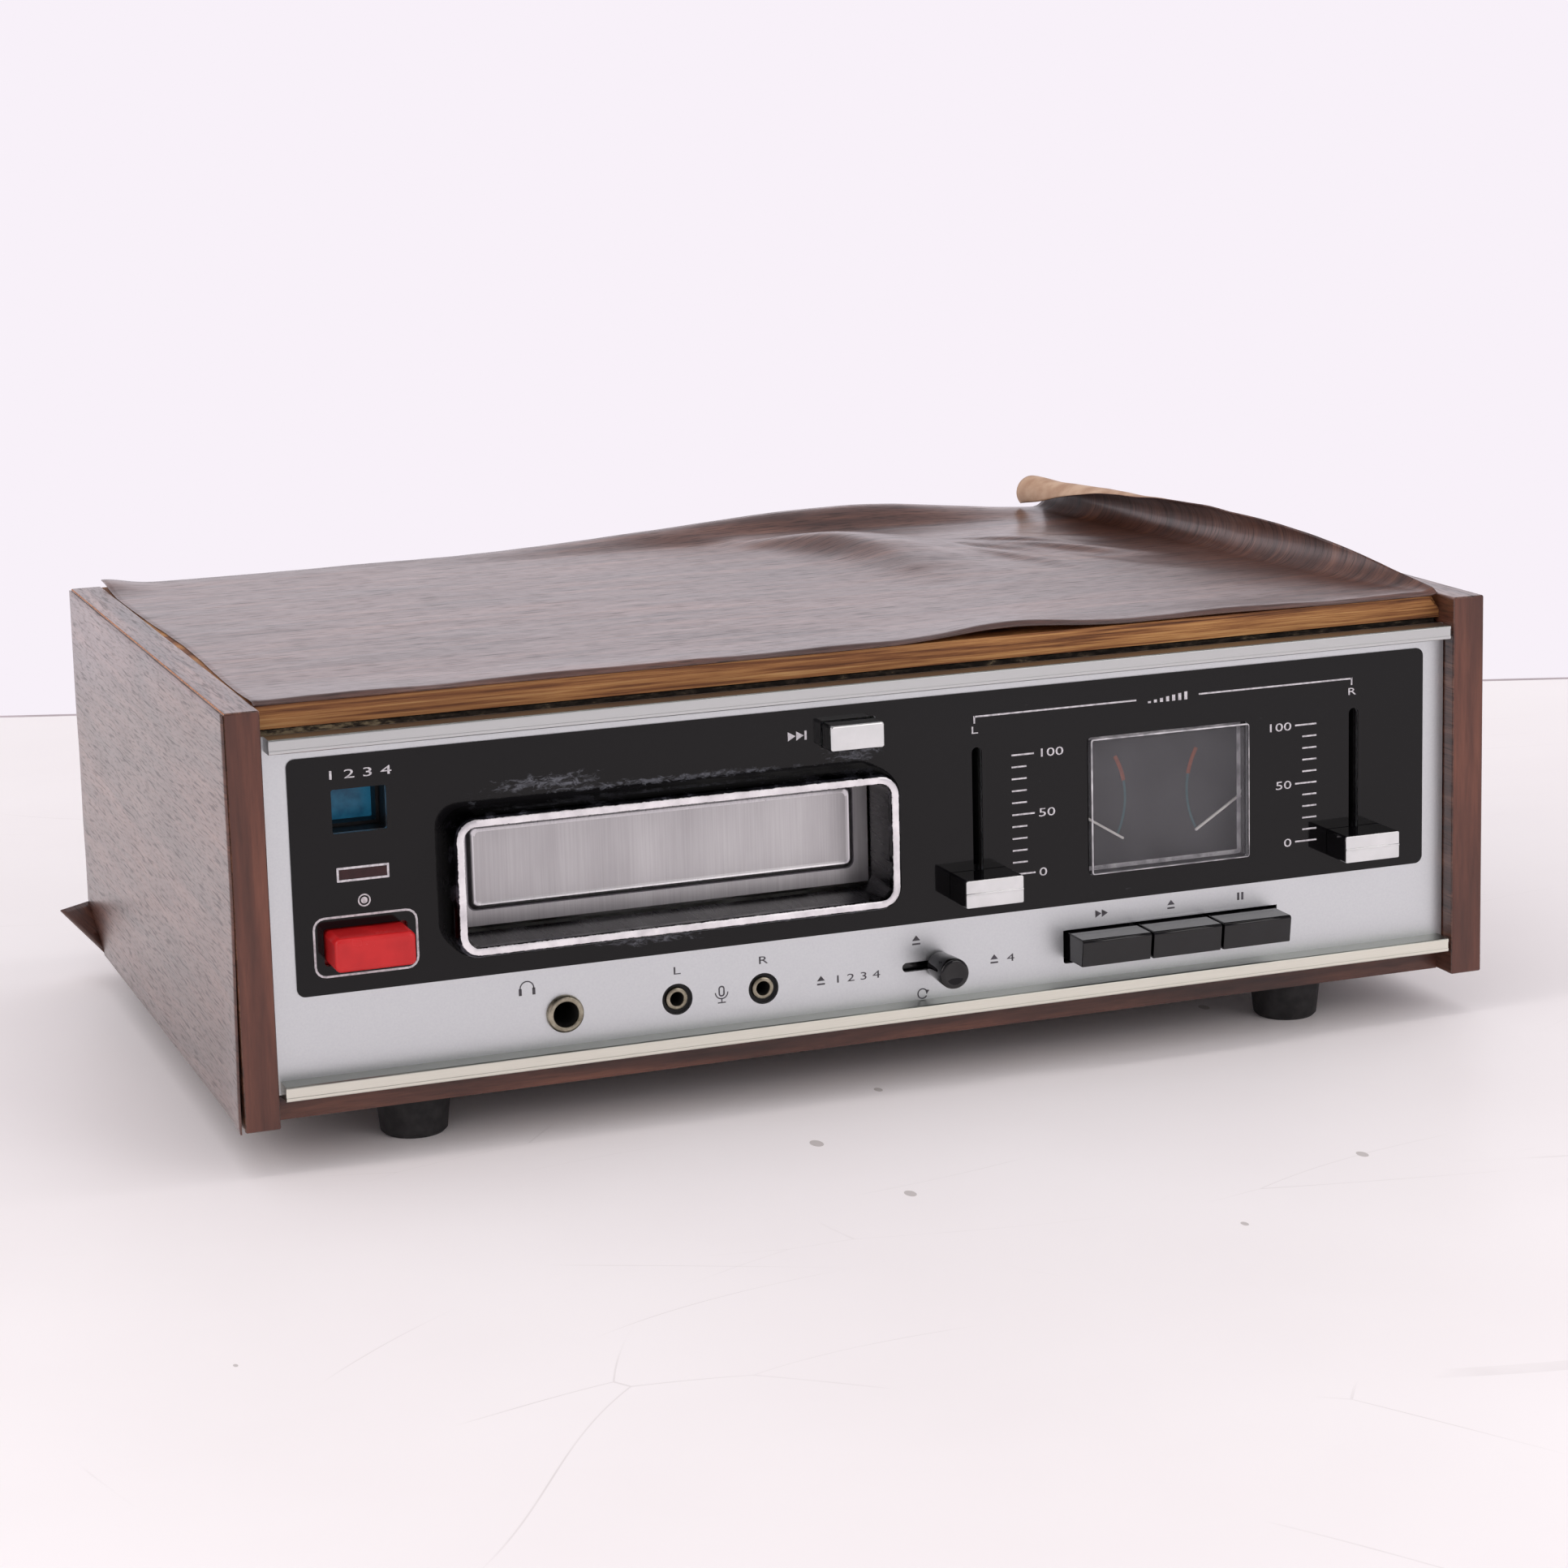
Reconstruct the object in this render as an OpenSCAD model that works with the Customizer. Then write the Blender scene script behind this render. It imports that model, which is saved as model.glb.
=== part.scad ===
// Stereo 8-track player and recorder in a walnut-vinyl cabinet, free-standing.
// Millimetres, +Z up, front towards -Y. The origin is the centre of the whole box at the surface
// that the feet stand on. Inside in_cabinet(), x = 0 is the cabinet's middle, y = 0 is the front
// edge of the side panels, and heights named *_up are measured from the cabinet's underside.

/* [Cabinet] */
// Width over the side panels
cab_w = 350; // [340:1:380]
// Depth of the side panels
cab_d = 211.5; // [208:0.5:240]
// Height of the side panels
cab_h = 106; // [105:0.5:120]
// Thickness of a side panel with its vinyl
side_t = 9.4; // [8:0.2:10]
// Thickness of the top and bottom boards
board_t = 6; // [5:0.2:6.4]
// How far the top and bottom boards sit behind the side panels' front edges
board_recess = 8; // [7.5:0.5:10]
// Thickness of the vinyl film
vinyl_t = 0.4; // [0.3:0.05:0.6]
// Depth of the recess that the back panel sits in
back_recess = 8.5; // [8:0.5:12]
// Thickness of the steel back panel
back_t = 1.2; // [0.8:0.1:2]

/* [Feet] */
// Height of a rubber foot
foot_h = 11.8; // [9:0.2:16]
// Radius of a foot at the board
foot_r_top = 10; // [9:0.5:12]
// Radius of a foot at the table
foot_r_bottom = 8.7; // [7:0.1:9]
// Distance of a foot's centre from the cabinet's side
foot_in_x = 49; // [30:1:55]
// Distance of a foot's centre from the cabinet's front or back
foot_in_y = 22.7; // [20:0.1:30]

/* [Loose vinyl] */
// Height of the wave along the top film's rear edge
rear_wave = 6; // [2:0.5:8]
// Height of the bulge in the middle of the top film
middle_bulge = 3.6; // [1:0.2:5]
// Height of the lifted stretch of the top film's front edge
front_lift = 2.2; // [1:0.2:3]
// Radius of the rolled-up rear right corner, at the rear
roll_r_back = 4.6; // [4.4:0.1:5.4]
// Radius of the same curl, at the front
roll_r_front = 10.2; // [8:0.2:12]
// Length of film that is rolled up at the rear
roll_len = 25.5; // [20:0.5:26]
// Height of the triangle of side film that is folded out
fold_up = 10.8; // [8:0.2:14]
// Length of that triangle along the bottom edge
fold_along = 23.5; // [18:0.5:28]

/* [Front panel] */
// How far the aluminium fascia sits behind the side panels' front edges
fascia_recess = 5; // [4.6:0.2:5]
// Thickness of the fascia
fascia_t = 1.2; // [1:0.1:1.3]
// Thickness of the steel panel behind the fascia
subpanel_t = 1; // [0.8:0.1:1.2]
// Thickness of the gloss black overlay
overlay_t = 0.3; // [0.2:0.05:0.4]
// Width of the fascia that shows on each side of the overlay
overlay_margin = 6.75; // [5:0.25:9]
// Height of the overlay's lower edge above the cabinet's underside
overlay_up = 31.7; // [30:0.1:33]
// Gap between the overlay and the top trim bar
overlay_gap = 2.7; // [2:0.1:3.4]
// Height of a trim bar's face
bar_h = 3.8; // [3:0.1:4.4]
// How far a trim bar stands out of the fascia
bar_d = 6; // [5:0.2:7]
// Distance from the cabinet's top down to the top bar's lower edge
top_bar_drop = 11.2; // [10.8:0.1:12.4]
// Height of the bottom bar's lower edge
bottom_bar_up = 7; // [6.6:0.1:8]

/* [Cartridge slot] */
// Gap between the record button and the slot's bezel
record_gap = 9.9; // [8:0.1:12]
// How far the slot's centre sits below the overlay's
slot_drop = 4.9; // [4:0.1:5.6]
// Width of the slot inside the bezel's lip
mouth_w = 114.2; // [112:0.2:116]
// Height of the slot inside the bezel's lip
mouth_h = 30.7; // [30:0.1:31.2]
// Width of the bezel's chromed lip
lip_w = 2.2; // [1.8:0.1:2.4]
// How far the lip stands out of the fascia
lip_out = 10; // [7:0.5:11]
// Distance from the fascia's face back to the door
door_back = 6.2; // [6:0.1:7]
// Thickness of the door
door_t = 1.2; // [1:0.1:1.5]
// Radius of the door's hinge pin
hinge_pin_r = 1.25; // [1:0.05:1.5]
// Width that the cartridge is guided to
cartridge_w = 102.6; // [102:0.2:104]
// Height that a cartridge needs
cartridge_h = 22; // [21.6:0.2:23]

/* [Buttons and keys] */
// Width of the record button
record_w = 20.6; // [18:0.2:22]
// Height of the record button
record_h = 8.6; // [7:0.2:9]
// Distance from the cabinet's left side to the record button
record_in = 24; // [22:0.1:27]
// Height of the record button's centre above the overlay's lower edge
record_rise = 12; // [11:0.1:13]
// Distance from the overlay's upper edge down to the programme window's centre
window_drop = 14.2; // [13:0.1:15]
// How far the record lamp sits above the middle between window and button
lamp_rise = 1.1; // [0:0.1:2]
// Width of the selector button
selector_w = 14.9; // [13:0.1:16]
// Height of the selector button
selector_h = 6.8; // [6:0.1:7]
// How far the selector button's right end sits inside the bezel's
selector_in = 3.85; // [3:0.05:6]
// How far the selector button sits above the middle between bezel and overlay edge
selector_rise = 0.7; // [0.3:0.1:1]
// Width of one piano key
key_w = 20.2; // [18:0.1:20.8]
// Height of one piano key
key_h = 7.5; // [7:0.1:8]
// Gap between two keys
key_gap = 0.7; // [0.5:0.1:1]
// Distance from the cabinet's right side to the keys
key_in = 62; // [58:0.5:66]
// Height of the keys' centre
key_up = 20.5; // [20.2:0.1:21]
// How far keys and the record button stand out of the fascia
press_out = 10.5; // [8:0.1:11.5]
// How far the selector button stands out of the fascia
selector_out = 6.8; // [5:0.1:8]
// Travel of the buttons and keys
press_travel = 5; // [3:0.5:5]

/* [Volume controls] */
// Distance from the bezel to the left volume control
volume_gap = 24.7; // [20:0.1:27]
// Distance from the cabinet's right side to the right volume control
volume_in = 37.6; // [34:0.1:40]
// Height of a knob's centre above the overlay's lower edge with the volume at nought
volume_rise = 8.9; // [8:0.1:10]
// Travel of a volume control
volume_travel = 32.3; // [28:0.1:33]
// Width of a knob
knob_w = 16.4; // [14:0.1:18]
// Height of a knob
knob_h = 7.4; // [6:0.1:8]
// How far a knob stands out of the fascia
knob_out = 11.2; // [9:0.1:12]
// Width of the slot in the panel
volume_slot_w = 2.9; // [2.6:0.1:3.2]

/* [Level meter] */
// How far the meter's centre sits above the slot's
meter_rise = 0.9; // [0:0.1:2]
// Width of the meter's clear window
meter_w = 47; // [46:0.5:48]
// Height of the meter's clear window
meter_h = 37; // [35:0.5:38]
// How far the window stands out of the fascia
meter_out = 1.8; // [0.5:0.1:3]
// Length of a needle from its pivot
needle_len = 16.5; // [14:0.5:17]
// Sideways distance from the meter's centre to a needle's pivot
needle_side = 24.8; // [24.6:0.1:25]
// Angle of a resting needle below the horizontal
needle_rest = 32; // [25:1:35]

/* [Sockets and lever] */
// Distance from the slot's middle to the monitor jack
monitor_shift = 29.9; // [26:0.1:34]
// Distance from the slot's middle to the first microphone jack
mic_shift = 0.5; // [-3:0.1:3]
// Distance between the two microphone jacks
mic_pitch = 23.7; // [20:0.1:27]
// Height of the jacks' centres
jack_up = 19.2; // [19:0.1:20]
// Radius of the monitor jack's bore
monitor_r = 3.25; // [3.2:0.05:3.4]
// Radius of a microphone jack's bore
mic_r = 1.8; // [1.75:0.05:1.9]
// How far the lever's slot sits right of the middle between jacks and keys
lever_shift = 2.2; // [0:0.1:4]
// Height of the lever's slot
lever_up = 20; // [19.6:0.1:20.4]
// Travel of the lever to each side of its middle
lever_travel = 3.6; // [3:0.1:3.8]
// Radius of the lever's knob
lever_r = 4.1; // [3.6:0.1:4.4]
// How far the lever's knob stands out of the fascia
lever_out = 11.8; // [10:0.1:12.4]

/* [Tape drive] */
// Radius of the flywheel
flywheel_r = 33; // [30:0.5:34]
// Thickness of the flywheel's rim
flywheel_t = 10; // [8:0.5:11]
// Radius of the capstan shaft
capstan_r = 1.5; // [1.2:0.05:1.8]
// Radius of the motor pulley
pulley_r = 5; // [4:0.1:6]
// Radius of the motor
motor_r = 18; // [15:0.5:19]
// Height of the motor
motor_h = 36; // [30:0.5:40]
// Thickness of the drive belt
belt_t = 0.8; // [0.6:0.1:1]
// Thickness of the steel deck plate
deck_t = 1.5; // [1.2:0.1:2]
// Thickness of the chassis tray
tray_t = 1.2; // [1:0.1:1.6]
// How far the head moves from one track pair to the next
track_step = 0.8; // [0.6:0.05:0.9]

/* [Hidden] */
$fn = 48;

wood = "#5b3a2c";
film = "#8d7468";
plywood = "#c08a50";
satin = "#c6c4c8";
champagne = "#d8d2c4";
steel = "#a9adb0";
black = "#1d1b1d";
nickel = "#b9b3a4";
brass = "#b59a58";

// clearances
slip = 0.3;          // round a part that drops into an opening
running = 0.05;      // radial, shaft in bearing
contact_gap = 0.2;   // between a moving stop and what it rests on

// the whole box, and where the cabinet lies in it
fold_hinge = norm([fold_along, fold_up]);
fold_reach = fold_up * fold_along / fold_hinge;
front_reach = max(lip_out, press_out, knob_out, lever_out) - fascia_recess;
cab_x = fold_reach / 2;
cab_y = -(cab_d - front_reach) / 2;

// heights of the boards' faces, from the table
floor_z = foot_h + board_t;
roof_z = foot_h + cab_h - vinyl_t - board_t;
tray_top = floor_z + tray_t;
inner_w = cab_w - 2 * side_t;

// depths through the front panel
face_y = fascia_recess;
overlay_y = face_y - overlay_t;
sub_y = face_y + fascia_t;
behind_y = sub_y + subpanel_t;
back_y = cab_d - back_recess - back_t;

// the layout of the front, from the left side, the right side and the overlay's edges
top_bar_up = cab_h - top_bar_drop;
overlay_w = inner_w - 2 * overlay_margin;
overlay_top = top_bar_up - overlay_gap;
overlay_h = overlay_top - overlay_up;
bezel_swell = 1.4;
bezel_half_w = mouth_w / 2 + lip_w + bezel_swell;
record_x = -cab_w / 2 + record_in + record_w / 2;
slot_x = record_x + record_w / 2 + record_gap + bezel_half_w;
slot_up = (overlay_up + overlay_top) / 2 - slot_drop;
bezel_top = slot_up + mouth_h / 2 + lip_w + bezel_swell;
record_up = overlay_up + record_rise;
window_up = overlay_top - window_drop;
lamp_up = (window_up + record_up) / 2 + lamp_rise;
selector_x = slot_x + bezel_half_w - selector_in - selector_w / 2;
selector_up = (bezel_top + overlay_top) / 2 + selector_rise;
volume_left_x = slot_x + bezel_half_w + volume_gap;
volume_right_x = cab_w / 2 - volume_in;
volume_up = overlay_up + volume_rise;
meter_x = (volume_left_x + volume_right_x) / 2;
meter_up = slot_up + meter_rise;
keys_half = 1.5 * key_w + key_gap;
key_x = cab_w / 2 - key_in - keys_half;
monitor_x = slot_x - monitor_shift;
mic_x = [slot_x + mic_shift, slot_x + mic_shift + mic_pitch];
lever_x = (mic_x[1] + key_x - keys_half) / 2 + lever_shift;

// overlay and fascia edges
fascia_low = bottom_bar_up + 0.3;
fascia_high = top_bar_up + bar_h - 0.2;
overlay_corner = 2.2;

// cartridge slot
bezel_corner = 5.4;
tube_wall = 1.5;
door_front = face_y + door_back;
barrel_r = hinge_pin_r + 0.8;
pin_y = door_front + barrel_r;
door_gap = 0.45;
door_low = slot_up - mouth_h / 2 + 1.4;
pin_up = slot_up + mouth_h / 2 + 1.7;
tube_end = door_front - slip;
door_half = mouth_w / 2 - door_gap;
ear_t = 1.5;
ear_in = mouth_w / 2 + 0.2;
spring_gap_half = 8;

// deck and drive
deck_top = foot_h + slot_up - mouth_h / 2 - 0.7;
deck_low = deck_top - deck_t;
deck_y0 = pin_y + barrel_r + 1.2;
deck_y1 = back_y - 19.8;
deck_x0 = slot_x - cartridge_w / 2 - 9.2;
deck_x1 = slot_x + 66;
capstan_x = slot_x + 34;
capstan_y = 106;
flywheel_z = deck_low - 5.4 - flywheel_t;
rim_groove = 1;
belt_h = 4;
belt_z = flywheel_z + (flywheel_t - belt_h) / 2;
motor_x = slot_x - 36;
motor_y = deck_y1 - 30;
motor_shaft_r = 1.2;
door_sweep = pin_up - door_low + 0.6;
guide_y0 = pin_y + door_sweep + 1;
guide_y1 = 102;
cam_x = slot_x - 2;
cam_y = 129;
cam_r = 9;
cam_t = 3;
cam_axle_r = 1.5;
cam_z = deck_top + 0.4;
post_x = slot_x - 13;
post_y = 121;
post_r = 1.5;
foot_clear = 0.3;
solenoid_x = slot_x + 26;
solenoid_y = cam_y + cam_r + 1.2;
plunger_r = 1.7;
solenoid_z = deck_top + 8.2;

// stems behind the front panel
stem = 5;
block_in = 4;
block_in_key = 3;
switch_y = 28;
key_pitch = key_w + key_gap;
key_bar = 4;
frame_y0 = 31;
frame_y1 = 62;
frame_t = 1.2;
lever_stem_r = 1.1;
lever_slot_h = 2.5;
meter_case_w = 56;
meter_case_h = 42;
needle_y = face_y + 5.6;
scale_y = face_y + 7.6;
spring_wire = 0.6;

module in_cabinet() {
  translate([cab_x, cab_y, 0]) children();
}

// a thin upright plate, drawn in x and height, from depth y0 backwards
module upright(y0, t) {
  translate([0, y0 + t, 0]) rotate([90, 0, 0]) linear_extrude(t) children();
}

// a round bar along y
module bar_y(y0, y1, r) {
  translate([0, y1, 0]) rotate([90, 0, 0]) cylinder(r = r, h = y1 - y0);
}

module rounded(w, h, r) {
  square([w - 2 * r, h], center = true);
  square([w, h - 2 * r], center = true);
  for (sx = [-1, 1], sy = [-1, 1])
    translate([sx * (w / 2 - r), sy * (h / 2 - r)]) circle(r);
}

// a block with every edge rounded, its front at y = 0 and reaching back to y = d
module soft_block(w, d, h, r) {
  intersection() {
    upright(0, d) rounded(w, h, r);
    translate([0, 0, -h / 2]) linear_extrude(h)
      translate([0, d / 2 + r]) rounded(w, d + 2 * r, r);
    translate([-w / 2, 0, 0]) rotate([90, 0, 90]) linear_extrude(w)
      translate([d / 2 + r, 0]) rounded(d + 2 * r, h, r);
  }
}

// a wire coil along y, from y0 to y1, as one swept tube
module coil(y0, y1, r, wire, turns) {
  steps = 9;
  sides = 5;
  n = turns * steps;
  points = [for (i = [0:n], j = [0:sides - 1])
    let (a = 360 * i / steps, b = 360 * j / sides, q = r + wire * cos(b))
      [q * cos(a), y0 + wire + (y1 - y0 - 2 * wire) * i / n + wire * sin(b), q * sin(a)]];
  skin = [for (i = [0:n - 1], j = [0:sides - 1])
    let (k = (j + 1) % sides, p = i * sides, q = p + sides)
      each [[p + j, q + k, q + j], [p + j, p + k, q + k]]];
  caps = [for (j = [1:sides - 2]) each [[0, j + 1, j], [n * sides, n * sides + j, n * sides + j + 1]]];
  polyhedron(points, concat(skin, caps));
}

// ---- cabinet ----

foot_places = [for (sx = [-1, 1], y = [foot_in_y, cab_d - foot_in_y]) [sx * (cab_w / 2 - foot_in_x), y]];
foot_screw_r = 1.6;
foot_head_r = 3.2;
foot_head_z = 5;

module side_panel(side) {
  film_side = side < 0 ? vinyl_t : 0;
  left = side < 0 ? -cab_w / 2 + film_side : cab_w / 2 - side_t;
  in_cabinet() translate([left, 0, foot_h]) cube([side_t - film_side, cab_d, cab_h]);
}

module side_panel_left() {
  color(wood) side_panel(-1);
}

module side_panel_right() {
  color(wood) side_panel(1);
}

chip = 2.6;

module top_board() {
  color(plywood) in_cabinet() difference() {
    translate([-inner_w / 2, board_recess, roof_z]) cube([inner_w, cab_d - board_recess, board_t]);
    // the broken front right corner
    translate([inner_w / 2, board_recess, roof_z + board_t]) rotate([0, 52, 0]) rotate([0, 0, 30])
      cube([2 * chip, 3 * chip, 2 * chip], center = true);
  }
}

module bottom_board() {
  color(wood) in_cabinet() difference() {
    translate([-inner_w / 2, board_recess, foot_h]) cube([inner_w, cab_d - board_recess, board_t]);
    for (p = foot_places)
      translate([p.x, p.y, foot_h - 1]) cylinder(r = foot_screw_r + 0.15, h = board_t + 2);
  }
}

module rubber_feet() {
  color(black) in_cabinet() for (p = foot_places) translate([p.x, p.y, 0])
    rotate_extrude() polygon([[foot_screw_r + 0.2, foot_head_z], [foot_head_r + 0.5, foot_head_z],
      [foot_head_r + 0.5, 0], [foot_r_bottom - 0.8, 0], [foot_r_bottom, 0.8],
      [foot_r_top, foot_h], [foot_screw_r + 0.2, foot_h]]);
}

back_screw_in = 23;
back_screw_end = cab_w / 2 - back_screw_in;
back_screw_x = [-back_screw_end, 0, back_screw_end];
back_screw_up = board_t + 8;
ear_screw_up = cab_h - 18;
back_screw_r = 1.4;

module cabinet_screws() {
  color(steel) in_cabinet() {
    for (p = foot_places) translate([p.x, p.y, 0]) {
      translate([0, 0, foot_head_z - 2]) cylinder(r = foot_head_r, h = 2);
      translate([0, 0, foot_head_z]) cylinder(r = foot_screw_r, h = tray_top + 4 - foot_head_z);
    }
    for (p = back_screws) translate([p.x, 0, p.y]) {
      bar_y(back_y - 4, back_y + back_t, back_screw_r);
      bar_y(back_y + back_t, back_y + back_t + 1.8, 2.8);
    }
  }
}

back_screws = [for (x = back_screw_x) [x, foot_h + back_screw_up],
  for (sx = [-1, 1]) [sx * back_screw_end, foot_h + ear_screw_up]];
vent_slots = 14;
vent_pitch = 8;
vent_w = 3;
vent_h = 26;
socket_pitch = 19;
socket_in = 78;
socket_x = cab_w / 2 - socket_in - socket_pitch;
socket_up = 34;
socket_row = 17;
cord_in = 47;
cord_x = -cab_w / 2 + cord_in;
cord_up = 24;
cord_r = 3.2;
grommet_r = 5.2;

module back_panel() {
  color("#3a3634") in_cabinet() difference() {
    upright(back_y, back_t) difference() {
      translate([-inner_w / 2 + slip, floor_z + slip]) square([inner_w - 2 * slip, roof_z - floor_z - 2 * slip]);
      for (i = [0:vent_slots - 1]) translate([(i - (vent_slots - 1) / 2) * vent_pitch, foot_h + 70])
        rounded(vent_w, vent_h, vent_w / 2 - 0.01);
      for (p = phono_places) translate(p) circle(r = 4.4);
      translate([cord_x, foot_h + cord_up]) circle(r = grommet_r + 0.05);
    }
    for (p = back_screws) translate([p.x, 0, p.y]) bar_y(back_y - 1, back_y + back_t + 1, back_screw_r + 0.1);
  }
}

// ---- loose vinyl ----

film_x0 = -inner_w / 2 + 0.15;
film_y0 = board_recess - 0.6;
film_y1 = cab_d - 0.2;
film_z = roof_z + board_t;

function bump(s) = exp(-s * s);
function side_bump(s, left, right) = bump(s < 0 ? s / left : s / right);
function smooth(s) = let (c = min(1, max(0, s))) c * c * (3 - 2 * c);

// how long the curled strip is, how tight, and where it leaves the board; v runs from front to back
function curl_len(v) = 3 + (roll_len - 12) * (1 - exp(-v / 0.13)) + 9 * v * v * v;
function curl_r(v) = roll_r_front + (roll_r_back - roll_r_front) * v;
function curl_x(v) = inner_w / 2 - 0.6 - curl_len(v);

// height of the loose film over the board
function film_h(x, y) = let (v = (y - film_y0) / (film_y1 - film_y0), s = x - meter_x)
  rear_wave * side_bump(s + 11, 80, 50) * smooth((v - 0.74) / 0.26)
  + middle_bulge * side_bump(s, 62, 40) * bump((y - 146) / 26)
  + 0.5 * middle_bulge * bump((s - 22 - 0.5 * (146 - y)) / 16) * bump((y - 112) / 34)
  + front_lift * bump((s + 44) / 22) * bump((y - film_y0) / 17)
  + 0.25 * front_lift * bump((s - 16) / 26) * bump((y - film_y0) / 12)
  + 2 * bump((x - film_x0) / 9) * bump((y - film_y1) / 16);

film_cols = 17;
curl_cols = 11;
film_rows = 19;

// one point of the film; side 0 is its glued face and 1 its printed face
function film_point(i, j, side) =
  let (v = j / film_rows, y = film_y0 + (film_y1 - film_y0) * v, t = side * vinyl_t)
  i <= film_cols
    ? let (x = film_x0 + (curl_x(v) - film_x0) * i / film_cols)
      [x, y, film_z + film_h(x, y) + t]
    : let (r = curl_r(v), a = (i - film_cols) / curl_cols * curl_len(v) / r * 180 / PI)
      [curl_x(v) + (r - t) * sin(a), y, film_z + film_h(curl_x(v), y) + r - (r - t) * cos(a)];

module top_skin() {
  cols = film_cols + curl_cols;
  row = cols + 1;
  layer = row * (film_rows + 1);
  points = [for (side = [0, 1], j = [0:film_rows], i = [0:cols]) film_point(i, j, side)];
  faces = [for (j = [0:film_rows - 1], i = [0:cols - 1])
    let (a = j * row + i, b = a + 1, c = b + row, d = a + row)
      each [[a, b, c], [a, c, d], [layer + a, layer + c, layer + b], [layer + a, layer + d, layer + c]]];
  front_back = [for (i = [0:cols - 1], j = [0, film_rows]) let (a = j * row + i, b = a + 1)
    each j == 0 ? [[a, layer + a, layer + b], [a, layer + b, b]] : [[b, layer + b, layer + a], [b, layer + a, a]]];
  ends = [for (j = [0:film_rows - 1], i = [0, cols]) let (a = j * row + i, b = a + row)
    each i == 0 ? [[b, layer + b, layer + a], [b, layer + a, a]] : [[a, layer + a, layer + b], [a, layer + b, b]]];
  color(film) in_cabinet() polyhedron(points, concat(faces, front_back, ends));
}

// the left side's film, whose lower rear corner is folded straight out
module side_skin_left() {
  hinge_turn = atan2(fold_up, fold_along);
  hinge_foot = fold_up * fold_up / fold_hinge;
  root = vinyl_t / 2;
  color(film) in_cabinet() {
    translate([-cab_w / 2, 0, foot_h]) rotate([90, 0, 90]) linear_extrude(vinyl_t)
      polygon([[0, 0], [cab_d - fold_along, 0], [cab_d, fold_up], [cab_d, cab_h], [0, cab_h]]);
    translate([-cab_w / 2, cab_d, foot_h + fold_up]) rotate([hinge_turn, 0, 0]) rotate([0, 0, 180])
      translate([0, 0, root / 4]) linear_extrude(vinyl_t)
        polygon([[-root, root], [-root, fold_hinge - root], [fold_reach, hinge_foot]]);
  }
}

// ---- chassis ----

module chassis() {
  tray_x = inner_w / 2 - 3;
  color(steel) in_cabinet() difference() {
    union() {
      translate([-tray_x, behind_y, floor_z]) cube([2 * tray_x, back_y - behind_y, tray_t]);
      for (sx = [-1, 1]) translate([sx * tray_x - (sx > 0 ? tray_t : 0), 26, floor_z]) cube([tray_t, back_y - 26, 14]);
      translate([-tray_x, back_y - tray_t, floor_z]) cube([2 * tray_x, tray_t, 16]);
      for (sx = [-1, 1]) translate([sx * back_screw_end - 7, back_y - tray_t, floor_z])
        cube([14, tray_t, ear_screw_up]);
    }
    for (p = foot_places) translate([p.x, p.y, floor_z - 1]) cylinder(r = foot_screw_r + 0.15, h = tray_t + 2);
    for (p = back_screws) translate([p.x, 0, p.y]) bar_y(back_y - tray_t - 1, back_y + 1, back_screw_r + 0.1);
    for (i = [-5:5]) translate([i * vent_pitch * 2.4, back_y - 8, floor_z - 1]) cylinder(r = 2.5, h = tray_t + 2);
    translate([cord_x, 0, foot_h + cord_up]) bar_y(back_y - tray_t - 1, back_y + 1, grommet_r + 1.5);
    for (p = phono_places) translate([p.x, 0, p.y]) bar_y(back_y - tray_t - 1, back_y + 1, 6);
  }
}

// every opening that the fascia, the overlay and the steel panel share, grown by extra
module panel_openings(extra) {
  g = slip + extra;
  translate([slot_x, foot_h + slot_up])
    rounded(mouth_w + 2 * tube_wall + 2 * g, mouth_h + 2 * tube_wall + 2 * g, bezel_corner - 1);
  translate([record_x, foot_h + record_up]) rounded(record_w + 2 * g + 0.4, record_h + 2 * g + 0.4, 1);
  translate([selector_x, foot_h + selector_up]) rounded(selector_w + 2 * g, selector_h + 2 * g, 0.8);
  translate([record_x - 0.2, foot_h + window_up]) rounded(window_w + 2 * extra, window_h + 2 * extra, 0.6);
  translate([record_x, foot_h + lamp_up]) square([lamp_w + 0.1, lamp_h + 0.1], center = true);
  for (x = [volume_left_x, volume_right_x])
    translate([x, foot_h + volume_up + volume_travel / 2])
      rounded(volume_slot_w + 2 * extra, volume_travel + 8.8 + 2 * extra, volume_slot_w / 2 - 0.01);
  translate([meter_x, foot_h + meter_up]) rounded(meter_w + 2 * slip, meter_h + 2 * slip, 1);
  translate([monitor_x, foot_h + jack_up]) circle(r = monitor_thread_r + 0.1);
  translate([lever_x, foot_h + lever_up])
    rounded(2 * lever_travel + 5.8 + 2 * extra, lever_slot_h + 2 * extra, lever_slot_h / 2 - 0.01);
  translate([key_x, foot_h + key_up]) rounded(3 * key_pitch + 1.3 + 2 * extra, key_h + 2.3 + 2 * extra, 0.8);
}

window_w = 14;
window_h = 11.2;
lamp_w = 12.2;
lamp_h = 2.6;
monitor_thread_r = 4.6;
mic_hole_r = 4.15;
mic_thread_r = 2.95;

module front_subpanel() {
  color("#77777a") in_cabinet() upright(sub_y, subpanel_t) difference() {
    translate([-inner_w / 2 + 2, floor_z]) square([inner_w - 4, foot_h + fascia_high - 0.5 - floor_z]);
    panel_openings(0.4);
    for (x = mic_x) translate([x, foot_h + jack_up]) circle(r = mic_thread_r + 0.1);
  }
}

module fascia() {
  color(satin) in_cabinet() upright(face_y, fascia_t) difference() {
    translate([-inner_w / 2 + slip, foot_h + fascia_low]) square([inner_w - 2 * slip, fascia_high - fascia_low]);
    panel_openings(0);
    for (x = mic_x) translate([x, foot_h + jack_up]) circle(r = mic_hole_r);
  }
}

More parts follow.
